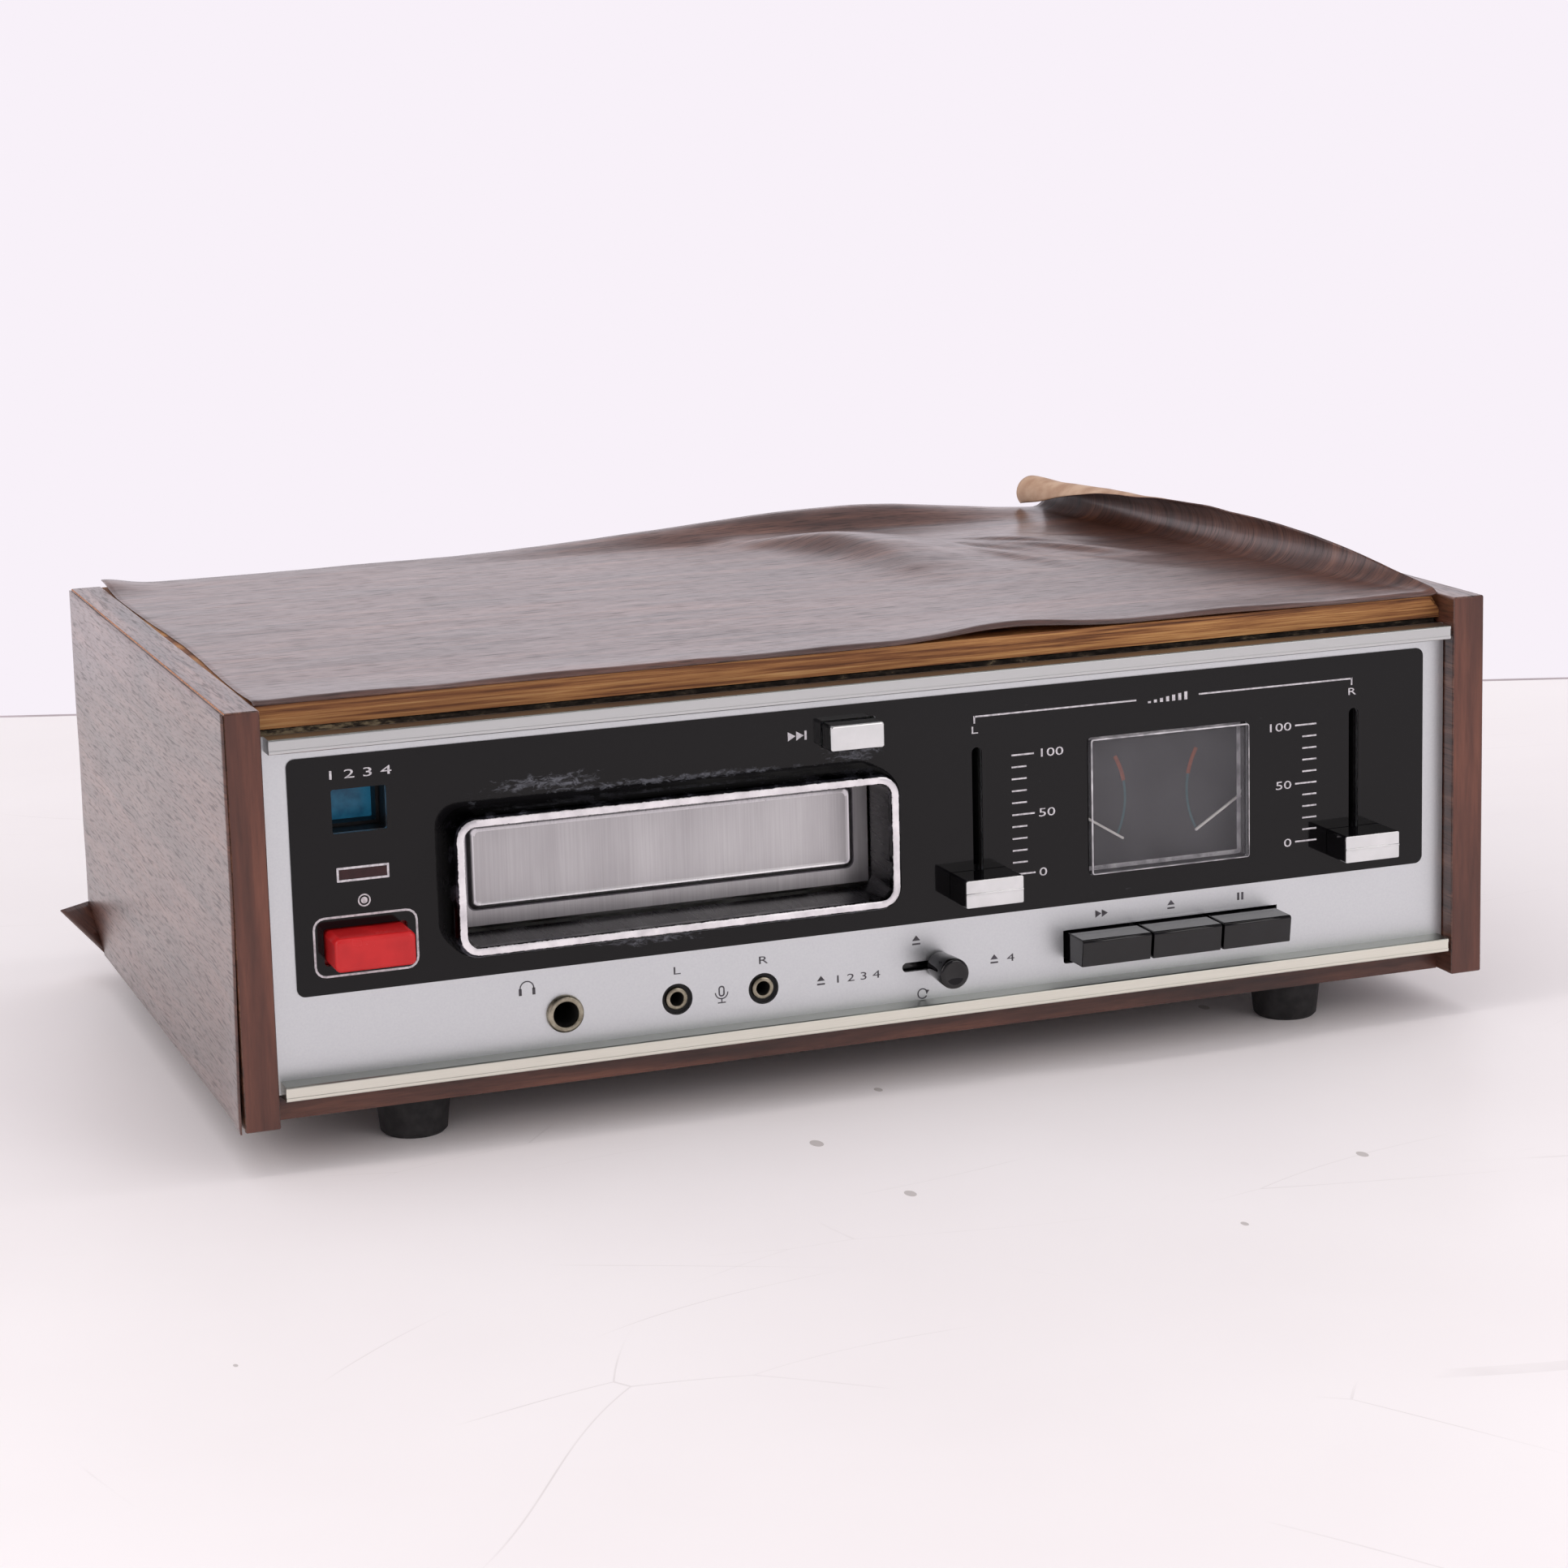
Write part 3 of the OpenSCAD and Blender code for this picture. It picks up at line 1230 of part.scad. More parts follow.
// sleeve on the post, a foot over the cam's stair, and the seat of the tape head
module head_carriage() {
  sleeve_r = 3.4;
  foot_y = cam_y - 5.4;
  stair = cam_z + cam_t;
  color("#c9b27a") in_cabinet() difference() {
    union() {
      translate([post_x, post_y, carriage_z - 2]) cylinder(r = sleeve_r, h = 15);
      translate([post_x, head_y + head_d, carriage_z]) cube([cam_x - post_x + 2, post_y - head_y - head_d + 2, 2.4]);
      translate([cam_x - head_w / 2, head_y + head_d, carriage_z]) cube([head_w, 2, 12]);
      translate([cam_x - 1.6, post_y - 4, carriage_z]) cube([3.2, foot_y - post_y + 5.2, 2.4]);
      translate([cam_x, foot_y, stair + foot_clear]) cylinder(r = 1.1, h = carriage_z + 1 - stair - foot_clear);
    }
    translate([post_x, post_y, carriage_z - 4]) cylinder(r = post_r + running, h = 20);
  }
}

// screened head with a crowned face and its pole gap
module tape_head() {
  crown = 9;
  color(steel) in_cabinet() translate([cam_x, head_y, carriage_z - 1]) difference() {
    intersection() {
      translate([-head_w / 2, 0, 0]) cube([head_w, head_d, head_h]);
      translate([0, crown, -1]) cylinder(r = crown, h = head_h + 2);
    }
    translate([-0.15, -1, 2]) cube([0.3, 1.6, head_h - 4]);
  }
}

module solenoid() {
  body_w = 22;
  body_h = 16;
  z = solenoid_z;
  color("#8c6a3c") in_cabinet() translate([solenoid_x, solenoid_y + 1.5, z]) difference() {
    union() {
      rotate([0, 90, 0]) cylinder(r = 6.4, h = body_w - 3);
      for (x = [-1.5, body_w - 3]) translate([x, -8, deck_top - z]) cube([1.5, 16, body_h]);
      translate([-1.5, -8, deck_top - z]) cube([body_w, 16, 1.2]);
    }
    translate([-5, 0, 0]) rotate([0, 90, 0]) cylinder(r = plunger_r + running, h = body_w - 2);
  }
}

// soft iron rod with a pawl that reaches along the ratchet's teeth
module solenoid_plunger() {
  reach = solenoid_x - cam_x;
  drop = solenoid_z - cam_z - 0.6;
  color("#6f7275") in_cabinet() translate([solenoid_x, solenoid_y + 1.5, solenoid_z]) {
    translate([-9, 0, 0]) rotate([0, 90, 0]) cylinder(r = plunger_r, h = 20);
    translate([-reach + 4, -0.8, -1]) cube([reach - 12, 1.6, 2]);
    translate([-reach + 4, -1.4, -drop]) cube([1.5, 2, drop + 1]);
  }
}

// ---- electrics ----

transformer_x = cab_w / 2 - 53;
transformer_y = back_y - 50;
core_w = 48;
core_d = 24;
core_h = 40;
coil_d = 10;
lug_w = 9;
lug_d = 16;

module transformer() {
  foot_t = 1.4;
  color("#6b5b48") in_cabinet() translate([transformer_x, transformer_y, tray_top]) {
    translate([-core_w / 2, -core_d / 2, foot_t]) cube([core_w, core_d, core_h]);
    for (s = [-1, 1]) translate([0, s * (core_d + coil_d) / 2 - s * 0.5, foot_t + core_h / 2]) rotate([90, 0, 0])
      translate([0, 0, -coil_d / 2]) linear_extrude(coil_d) rounded(0.62 * core_w, 0.65 * core_h, 4);
    translate([-core_w / 2 - lug_w, -lug_d / 2, 0]) cube([core_w + 2 * lug_w, lug_d, foot_t]);
  }
}

board_x0 = capstan_x + flywheel_r + 8.8;
board_x1 = transformer_x - core_w / 2 - lug_w - 3;
board_y0 = frame_y1 + 18;
board_y1 = back_y - 11.8;
board_z = tray_top + 7;
can_r = 5.5;
can_pitch = 15;
part_r = 2.6;
part_pitch = 12;
choke_r = 4.2;
choke_pitch = 14;
sink_d = 10;
sink_h = 16;
fin_t = 1.6;
fin_pitch = 7.7;

module amp_board() {
  color("#7a8a52") in_cabinet() {
    translate([board_x0, board_y0, board_z]) cube([board_x1 - board_x0, board_y1 - board_y0, 1.6]);
    for (x = [board_x0 + 5, board_x1 - 5], y = [board_y0 + 5, board_y1 - 5])
      translate([x, y, tray_top]) cylinder(r = 2.5, h = board_z - tray_top + 0.2);
    translate([0, 0, board_z + 1.4]) {
      room = board_x1 - board_x0 - 16;
      for (i = [0:floor(room / can_pitch)]) translate([board_x0 + 8 + can_pitch * i, board_y1 - 14, 0])
        cylinder(r = can_r, h = 20);
      for (i = [0:floor(room / part_pitch)], k = [0:1])
        translate([board_x0 + 8 + part_pitch * i, board_y0 + 14 + 16 * k, 0]) cylinder(r = part_r, h = 8);
      for (i = [0:floor(room / choke_pitch)]) translate([board_x0 + 8 + choke_pitch * i, board_y0 + 48, 0])
        cylinder(r = choke_r, h = 6);
      // heat sink with upright fins
      fins = floor((room - fin_t) / fin_pitch);
      translate([board_x0 + 8, board_y1 - 40, 0]) {
        cube([fins * fin_pitch + fin_t, sink_d, 2]);
        for (i = [0:fins]) translate([fin_pitch * i, 0, 0]) cube([fin_t, sink_d, sink_h]);
      }
    }
  }
}

side_panel_left();
side_panel_right();
top_board();
bottom_board();
back_panel();
side_skin_left();
top_skin();
rubber_feet();
cabinet_screws();
chassis();
front_subpanel();
deck_plate();
fascia();
black_overlay();
trim_bars();
cartridge_bezel();
cartridge_door();
door_pin();
door_spring();
cartridge_guide();
program_window();
program_lens();
pilot_lamps();
record_lens();
record_button();
selector_button();
push_switches();
volume_knob_left();
volume_knob_right();
volume_lever_left();
volume_lever_right();
slide_pots();
meter_case();
meter_scale();
meter_window();
needle_left();
needle_right();
monitor_jack();
mic_jacks();
auto_eject_lever();
fast_forward_key();
eject_key();
pause_key();
key_frame();
return_springs();
flywheel();
capstan();
capstan_bearing();
motor();
motor_pulley();
drive_belt();
head_carriage();
tape_head();
track_cam();
solenoid();
solenoid_plunger();
transformer();
amp_board();
phono_sockets();
cord_grommet();
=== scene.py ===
import math
import bmesh
import bpy
from mathutils import Euler, Matrix, Vector, noise


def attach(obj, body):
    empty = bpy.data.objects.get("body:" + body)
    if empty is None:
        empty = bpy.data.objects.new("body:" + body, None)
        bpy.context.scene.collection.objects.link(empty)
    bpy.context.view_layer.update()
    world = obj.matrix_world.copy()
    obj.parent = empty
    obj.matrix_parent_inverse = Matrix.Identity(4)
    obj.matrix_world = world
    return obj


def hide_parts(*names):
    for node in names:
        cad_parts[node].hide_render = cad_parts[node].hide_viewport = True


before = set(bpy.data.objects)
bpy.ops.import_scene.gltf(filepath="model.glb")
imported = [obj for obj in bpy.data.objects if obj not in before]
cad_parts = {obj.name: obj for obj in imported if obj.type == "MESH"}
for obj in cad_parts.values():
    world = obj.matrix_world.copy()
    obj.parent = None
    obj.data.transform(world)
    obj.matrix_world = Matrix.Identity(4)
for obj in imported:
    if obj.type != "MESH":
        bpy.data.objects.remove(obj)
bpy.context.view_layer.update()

scene = bpy.context.scene


# ---- Camera ----
# The photograph is taken from the front left, a little above the player, with a long lens.
# Its place was fitted to the corners of the cabinet and of the front panel.
view = bpy.data.objects.new("camera", bpy.data.cameras.new("camera"))
scene.collection.objects.link(view)
view.location = (-0.346515, -0.96288054, 0.28852808)
view.rotation_euler = Euler([math.radians(a) for a in (79.55321901, 1.67345144, -19.67024764)], "XYZ")
view.data.sensor_width = 36
view.data.lens = 84.1920707681118
view.data.shift_x = 0.04630356
view.data.shift_y = -0.08049182
scene.camera = view
scene.view_settings.view_transform = "Standard"


# ---- Table, backdrop and lamps ----
# A white painted table with a few fine scratches and specks stands before a white wall.
# The daylight is broad and soft, so the wall glows a little pink and the shadows are short.
def linear(code):
    """a colour as it is written on screen, turned into the linear values of the nodes"""
    parts = [int(code[i:i + 2], 16) / 255 for i in (1, 3, 5)]
    return tuple(c / 12.92 if c <= 0.04045 else ((c + 0.055) / 1.055) ** 2.4 for c in parts) + (1.0,)


def add(tree, kind, sockets=None, stops=None, **settings):
    """adds one node: its settings, its sockets (a value, or the node or output that feeds it), its ramp"""
    node = tree.nodes.new("ShaderNode" + kind)
    for name, value in settings.items():
        setattr(node, name, value)
    for name, value in (sockets or {}).items():
        if isinstance(value, bpy.types.Node):
            tree.links.new(value.outputs[0], node.inputs[name])
        elif isinstance(value, bpy.types.NodeSocket):
            tree.links.new(value, node.inputs[name])
        else:
            node.inputs[name].default_value = value
    if stops:
        ends = node.color_ramp.elements
        while len(ends) < len(stops):
            ends.new(0.5)
        for end, (place, colour) in zip(ends, stops):
            end.position = place
            end.color = linear(colour)
    return node


def finish(name, **shader):
    """starts a material and sets its shader's own sockets; gives the material, its tree and its shader"""
    material = bpy.data.materials.new(name)
    material.use_nodes = True
    tree = material.node_tree
    surface = tree.nodes["Principled BSDF"]
    for socket, value in shader.items():
        surface.inputs[socket.replace("_", " ")].default_value = value
    return material, tree, surface


def mottled(name, scale, detail, deep, pale, rough=None, pressed=None, **shader):
    """a finish whose tone wanders over patches, scale of them to a metre: deep and pale are each a value
    of the noise and its colour; rough gives the roughness at its two ends, pressed a bump's strength and depth"""
    material, tree, surface = finish(name, **shader)
    grain = add(tree, "TexNoise", {"Vector": add(tree, "TexCoord").outputs["Object"], "Scale": scale, "Detail": detail})
    tree.links.new(add(tree, "ValToRGB", {"Fac": grain}, stops=(deep, pale)).outputs[0], surface.inputs["Base Color"])
    if rough:
        tree.links.new(add(tree, "MapRange", {0: grain, 3: rough[0], 4: rough[1]}).outputs[0], surface.inputs["Roughness"])
    if pressed:
        relief = add(tree, "Bump", {"Height": grain, "Strength": pressed[0], "Distance": pressed[1]})
        tree.links.new(relief.outputs[0], surface.inputs["Normal"])
    return material


# painted board, rolled white: satin, with hairline scratches in long arcs and dark specks left by use
table_paint, tree, surface = finish("rolled_white_paint", Roughness=0.45, Specular_IOR_Level=0.35)
spot = add(tree, "TexCoord").outputs["Object"]
# a scratch is drawn 0.6 mm wide, wider than the real one, so that it shows
drawn = []
for turn, size, seed in ((0.5, 4.0, 1.7), (-0.9, 7.0, 8.3)):
    wavy = add(tree, "TexNoise", {"Vector": spot, "Scale": 1.8, "Detail": 1.0})
    bent = add(tree, "VectorMath", {0: wavy.outputs["Color"], 1: (0.7, 0.7, 0), 2: spot}, operation="MULTIPLY_ADD")
    laid = add(tree, "Mapping", {"Vector": bent, "Location": (seed, 0, seed), "Rotation": (0, 0, turn), "Scale": (1, 2.4, 1)})
    cells = add(tree, "TexVoronoi", {"Vector": laid, "Scale": size}, feature="DISTANCE_TO_EDGE")
    line = add(tree, "Math", {0: cells, 1: 0.0003 * size}, operation="LESS_THAN")
    patch = add(tree, "TexNoise", {"Vector": add(tree, "Mapping", {"Vector": spot, "Location": (seed, seed, 0)}), "Scale": 9.0, "Detail": 5.0})
    some = add(tree, "ValToRGB", {"Fac": patch}, stops=((0.54, "#000000"), (0.68, "#B0B0B0")))
    drawn.append(add(tree, "Math", {0: line, 1: some}, operation="MULTIPLY"))
for size, few, disc in ((30.0, 0.16, 0.06), (80.0, 0.05, 0.11)):
    specks = add(tree, "TexVoronoi", {"Vector": add(tree, "Mapping", {"Vector": spot, "Scale": (1, 0.6, 1)}), "Scale": size, "Randomness": 1.0})
    dot = add(tree, "Math", {0: specks.outputs["Distance"], 1: disc}, operation="LESS_THAN")
    kept = add(tree, "Math", {0: add(tree, "SeparateColor", {"Color": specks.outputs["Color"]}), 1: few}, operation="LESS_THAN")
    drawn.append(add(tree, "Math", {0: dot, 1: kept}, operation="MULTIPLY"))
marks = drawn[0]
for each in drawn[1:]:
    marks = add(tree, "Math", {0: marks, 1: each}, operation="MAXIMUM")
worn = add(tree, "Math", {0: marks, 1: 0.5}, operation="MULTIPLY")
cloud = add(tree, "ValToRGB", {"Fac": add(tree, "TexNoise", {"Vector": spot, "Scale": 5.0, "Detail": 5.0})},
            stops=((0.3, "#F0ECED"), (0.7, "#F6F3F4")))
shown = add(tree, "Mix", {0: worn, 6: cloud.outputs["Color"], 7: linear("#81766F")}, data_type="RGBA")
tree.links.new(shown.outputs[2], surface.inputs["Base Color"])

# its far edge is a flat strip painted darker: painted shade standing for a rounded edge that turns away from the light,
# seen as a thin line
shaded_edge = mottled("shaded_table_edge", 20, 3, (0.35, "#A79BA0"), (0.65, "#C4B8BE"), Roughness=0.6)

# the table is a board: its far edge runs past the player on a slant, some 0.4 m behind it
far_edge = [Vector((-0.307, 0.595, 0)), Vector((0.683, 0.217, 0))]
slant = (far_edge[1] - far_edge[0]).normalized()
bm = bmesh.new()
far_left, far_right = far_edge[0] - 1.7 * slant, far_edge[1] + 1.7 * slant
corners = [far_left + Vector((-1.2, -2.9, 0)), far_right + Vector((-1.2, -2.9, 0)), far_right, far_left]
bmesh.ops.contextual_create(bm, geom=[bm.verts.new(c) for c in corners])
far_side = [e for e in bm.edges if all((v.co - far_right).length < 1e-6 or (v.co - far_left).length < 1e-6 for v in e.verts)]
made = bmesh.ops.extrude_edge_only(bm, edges=far_side)["geom"]
bmesh.ops.translate(bm, verts=[g for g in made if isinstance(g, bmesh.types.BMVert)], vec=slant.cross(Vector((0, 0, -1))) * 0.004)
for face in bm.faces:
    face.material_index = 1 if face.calc_area() < 0.1 else 0
mesh = bpy.data.meshes.new("table")
bm.to_mesh(mesh)
bm.free()
mesh.materials.append(table_paint)
mesh.materials.append(shaded_edge)
table = bpy.data.objects.new("table", mesh)
scene.collection.objects.link(table)

# the wall behind is white, far away and evenly lit, so the sky of the scene stands for it; the ceiling
# and the room behind the camera are dimmer, which shows only where gloss and metal mirror them
world = bpy.data.worlds.new("white_room")
world.use_nodes = True
scene.world = world
tree = world.node_tree
path = add(tree, "LightPath")
toward = add(tree, "SeparateXYZ", {"Vector": add(tree, "TexCoord").outputs["Generated"]})
dim = add(tree, "MapRange", {0: toward.outputs["Y"], 1: -0.6, 2: 0.2, 3: 0.42, 4: 1.0}, interpolation_type="SMOOTHSTEP")
room = add(tree, "Background", {"Color": linear("#F8F3F6"), "Strength": 0.94})
ceiling = add(tree, "MapRange", {0: toward.outputs["Z"], 1: 0.22, 2: 0.6, 3: 1.12, 4: 0.3}, interpolation_type="SMOOTHSTEP")
both = add(tree, "Math", {0: dim.outputs["Result"], 1: ceiling.outputs["Result"]}, operation="MULTIPLY")
mirrored = add(tree, "Background", {"Color": linear("#F8F1F9"), "Strength": both})
white = add(tree, "Background", {"Color": linear("#F8F1F9"), "Strength": 1.0})
seen = add(tree, "Math", {0: path.outputs["Is Camera Ray"], 1: path.outputs["Is Transmission Ray"]}, operation="MAXIMUM")
glossy = add(tree, "MixShader", {0: path.outputs["Is Glossy Ray"], 1: room, 2: mirrored})
tree.links.new(add(tree, "MixShader", {0: seen, 1: glossy, 2: white}).outputs[0], tree.nodes["World Output"].inputs["Surface"])

# a row of tubes on the ceiling, a softbox at the front right, and a tall window at the left that puts streaks on gloss
for name, place, wide, tall, watts in (("ceiling_tubes", (0.0, -0.2, 1.5), 2.4, 0.14, 3.6), ("front_softbox", (0.9, -1.5, 0.9), 1.0, 1.0, 5.0),
                                       ("left_window", (-2.2, -0.3, 1.3), 1.0, 1.4, 12.0)):
    lamp = bpy.data.objects.new(name, bpy.data.lights.new(name, "AREA"))
    lamp.data.shape = "RECTANGLE"
    lamp.data.size, lamp.data.size_y = wide, tall
    lamp.data.energy = watts
    lamp.data.color = linear("#FFFAF8")[:3]
    lamp.location = place
    lamp.rotation_euler = (Vector((place[0] if wide > 2 else 0, 0, 0.05)) - Vector(place)).to_track_quat("-Z", "Y").to_euler()
    scene.collection.objects.link(lamp)


# ---- Cabinet boards ----
# Two particle-board side panels, a plywood top board and a bottom board, glued and then wrapped in
# thin vinyl printed with walnut. The front edges show a plainer, redder piece of the same film.
ROW = Matrix.Translation((0.00490665, -0.10235, 0.0118)) @ Matrix.Scale(0.001, 4)
CAB_W, CAB_D, CAB_H, SIDE_T = 350, 211.5, 106, 9.4
FILM_T = 0.4
VINYL_DARK, VINYL_MID, VINYL_PALE = "#331C15", "#5B3527", "#825540"


def walnut(name, source, turn, tint="#FFFFFF", sheen=1.0, pores=1.0, even=0.18):
    """vinyl film printed with walnut: brown bands, arches and short dark pores under a clear satin skin,
    which turns grey-pink where it is seen at a low angle; turn brings the grain onto X, sheen and pores
    are shares of the full skin and pores, and a larger even makes the streaks softer"""
    material, tree, surface = finish(name, Specular_IOR_Level=0.5, Coat_Roughness=0.27, Coat_IOR=1.5)
    spot = add(tree, "TexCoord").outputs[source]
    along = add(tree, "Mapping", {"Vector": spot, "Rotation": turn})
    # arches and broad bands of the cut trunk, about 40 mm across and several times as long
    bend = add(tree, "TexNoise", {"Vector": add(tree, "Mapping", {"Vector": along, "Scale": (3.0, 14, 14)}),
                                  "Scale": 1.0, "Detail": 2.0, "Roughness": 0.45})
    ring = add(tree, "Math", {0: add(tree, "Math", {0: bend, 1: 7.0}, operation="MULTIPLY")}, operation="FRACT")
    band = add(tree, "ValToRGB", {"Fac": ring}, stops=((0.0, "#D0CAC8"), (0.5, "#FFFFFF"), (0.86, "#B4ABA8"), (1.0, "#D0CAC8")))
    # streaks 3 mm by 40 mm
    streak = add(tree, "TexNoise", {"Vector": add(tree, "Mapping", {"Vector": along, "Scale": (20, 240, 240)}),
                                    "Scale": 1.0, "Detail": 5.0, "Roughness": 0.62})
    printed = add(tree, "ValToRGB", {"Fac": streak}, stops=((0.5 - even, VINYL_DARK), (0.5, VINYL_MID), (0.5 + even, VINYL_PALE)))
    banded = add(tree, "Mix", {0: 0.8, 6: printed, 7: band}, data_type="RGBA", blend_type="MULTIPLY")
    # pores: dark dashes 10 mm long and 0.9 mm wide, and finer ones 5 mm by 0.5 mm
    dash = add(tree, "TexNoise", {"Vector": add(tree, "Mapping", {"Vector": along, "Scale": (100, 1150, 1150)}), "Scale": 1.0, "Detail": 1.0})
    fine = add(tree, "TexNoise", {"Vector": add(tree, "Mapping", {"Vector": along, "Scale": (210, 2100, 2100)}), "Scale": 1.0, "Detail": 1.0})
    long_pore = add(tree, "MapRange", {0: dash, 1: 0.56, 2: 0.70, 3: 0.0, 4: 0.62 * pores})
    small_pore = add(tree, "MapRange", {0: fine, 1: 0.52, 2: 0.72, 3: 0.0, 4: 0.45 * pores})
    pore = add(tree, "Math", {0: long_pore, 1: small_pore}, operation="MAXIMUM")
    pored = add(tree, "Mix", {0: pore, 6: banded.outputs[2], 7: linear("#1A0E0B")}, data_type="RGBA")
    tinted = add(tree, "Mix", {0: 1.0, 6: pored.outputs[2], 7: linear(tint)}, data_type="RGBA", blend_type="MULTIPLY")
    tree.links.new(tinted.outputs[2], surface.inputs["Base Color"])
    # the clear skin is broken by the pores and thinner over the dark bands
    cover = add(tree, "MapRange", {0: streak, 1: 0.3, 2: 0.62, 3: 0.82 * sheen, 4: 1.0 * sheen})
    skin = add(tree, "Math", {0: pore, 1: -0.5, 2: 1.0}, operation="MULTIPLY_ADD")
    tree.links.new(add(tree, "Math", {0: cover, 1: skin}, operation="MULTIPLY").outputs[0], surface.inputs["Coat Weight"])
    tree.links.new(add(tree, "MapRange", {0: pore, 3: 0.42, 4: 0.7}).outputs[0], surface.inputs["Roughness"])
    pressed = add(tree, "Bump", {"Height": pore, "Strength": 0.3, "Distance": 0.00005}, invert=True)
    tree.links.new(pressed.outputs[0], surface.inputs["Normal"])
    return material


walnut_side = walnut("walnut_vinyl_side", "Object", (0, 0, math.radians(90)))
walnut_edge = walnut("walnut_vinyl_edge", "Object", (0, math.radians(90), 0), tint="#FFE4DA", sheen=0.3, pores=0.2, even=0.4)
walnut_low = walnut("walnut_vinyl_bottom", "Object", (0, 0, 0), tint="#F0DCD4", sheen=0.25, pores=0.4, even=0.3)


def place(name, bm, body, slot, finishes, nodes=(), sharp=35, fix=True):
    """turns a mesh in millimetres on the cabinet's axes into a piece in the row's metres"""
    if fix:
        bmesh.ops.recalc_face_normals(bm, faces=bm.faces)
    bmesh.ops.transform(bm, verts=bm.verts, matrix=ROW)
    mesh = bpy.data.meshes.new(name)
    bm.to_mesh(mesh)
    bm.free()
    for each in finishes:
        mesh.materials.append(each)
    mesh.shade_smooth()
    mesh.set_sharp_from_angle(angle=math.radians(sharp))
    for face in mesh.polygons:
        # broad flat faces stay flat beside their rounded edges
        if face.area > 9e-6:
            face.use_smooth = False
    piece = bpy.data.objects.new(name, mesh)
    scene.collection.objects.link(piece)
    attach(piece, body)
    if nodes:
        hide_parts(*nodes)
    return piece


def block(bm, low, high, edge=0.0, segments=3):
    """a board or a bar between two corners, its edges eased"""
    size = Vector(high) - Vector(low)
    middle = (Vector(high) + Vector(low)) / 2
    made = bmesh.ops.create_cube(bm, size=1.0, matrix=Matrix.Translation(middle) @ Matrix.Diagonal((*size, 1)))["verts"]
    edges = list({e for v in made for e in v.link_edges})
    if edge:
        bmesh.ops.bevel(bm, geom=edges, offset=edge, segments=segments, profile=0.5, affect="EDGES", material=-1)


# bare edges of the wrap, where the film has shrunk: orange particle board and glue
bare_edge = mottled("orange_board_edge", 900, 4, (0.35, "#8A4F26"), (0.6, "#C07C45"), Roughness=0.7)

for side, node in ((-1, "side_panel_left"), (1, "side_panel_right")):
    bm = bmesh.new()
    inner, outer = side * (CAB_W / 2 - SIDE_T), side * (CAB_W / 2 - (FILM_T if side < 0 else 0))
    block(bm, (min(inner, outer), 0, 0), (max(inner, outer), CAB_D, CAB_H), 0.55)
    for face in bm.faces:
        face.material_index = 1 if face.normal.y < -0.8 else 0
    if side < 0:
        # the shrunken film leaves an orange line along the top edge
        for face in bm.faces:
            if face.normal.x < -0.3 and face.normal.z > 0.3:
                face.material_index = 2
    place(node + "_board", bm, "cabinet", "walnut_film", (walnut_side, walnut_edge, bare_edge), (node,))

# the top and bottom boards keep their own solids: bare plywood, and board in the same film
# the plywood's cut edge shows its plies as long fibres, light and dark
plywood, tree, surface = finish("raw_plywood", Roughness=0.62, Specular_IOR_Level=0.35)
along = add(tree, "Mapping", {"Vector": add(tree, "TexCoord").outputs["Object"], "Scale": (20, 60, 1100)})
fibre = add(tree, "TexNoise", {"Vector": along, "Scale": 1.0, "Detail": 6.0, "Roughness": 0.7})
veneer = add(tree, "ValToRGB", {"Fac": fibre}, stops=((0.34, "#4A2813"), (0.45, "#8F5C34"), (0.56, "#C08A52"), (0.7, "#E2B478")))
stain = add(tree, "TexNoise", {"Vector": add(tree, "TexCoord").outputs["Object"], "Scale": 14.0, "Detail": 3.0})
# the left half is painted darker, as painted shade, and a random stain mottles the whole edge
left_shade_ramp = add(tree, "MapRange", {0: add(tree, "SeparateXYZ", {"Vector": add(tree, "TexCoord").outputs["Object"]}), 1: -0.06, 2: 0.08, 3: 0.75, 4: 0.25})
stain_and_left_shade = add(tree, "Math", {0: add(tree, "ValToRGB", {"Fac": stain}, stops=((0.3, "#808080"), (0.7, "#FFFFFF"))), 1: left_shade_ramp}, operation="MULTIPLY")
stain_and_shade_mix = add(tree, "Mix", {0: stain_and_left_shade, 6: veneer.outputs[0], 7: linear("#6B4024")}, data_type="RGBA")
tree.links.new(stain_and_shade_mix.outputs[2], surface.inputs["Base Color"])
tree.links.new(add(tree, "Bump", {"Height": fibre, "Strength": 0.5, "Distance": 0.0002}).outputs[0], surface.inputs["Normal"])


def dress(node, *finishes):
    """gives a solid of the frame its finish"""
    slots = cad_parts[node].data.materials
    slots.clear()
    for each in finishes:
        slots.append(each)


dress("top_board", plywood)
dress("bottom_board", walnut_low)


# ---- Loose vinyl of the top ----
# One flat piece of printed film, 331 by 204 mm, has come unstuck: it stands in a wave along the back,
# a bulge in the middle, a lifted front edge and a roll at the rear right corner. Its back is bare tan.
FILM_X0, FILM_X1 = -165.45, 165.0
FILM_Y0, FILM_Y1 = 7.4, 211.3
WAVE_X = 81.5
REAR_WAVE, BULGE, FRONT_LIFT = 6.4, 5.0, 2.2
ROLL_BACK, ROLL_FRONT = 5.3, 8.0


def bump(s):
    """a bell-shaped rise, 1 high at its middle"""
    return math.exp(-s * s)


def side_bump(s, left, right):
    """the same with a different width on each side"""
    return bump(s / left if s < 0 else s / right)


def smooth(s):
    """an S-shaped step from 0 to 1"""
    s = min(max(s, 0), 1)
    return s * s * (3 - 2 * s)


def curl_len(v):
    """how much of the film's width is rolled up, in mm, at a share v of its depth"""
    return 3 + 16.5 * (1 - math.exp(-v / 0.25)) + 9.5 * v ** 4


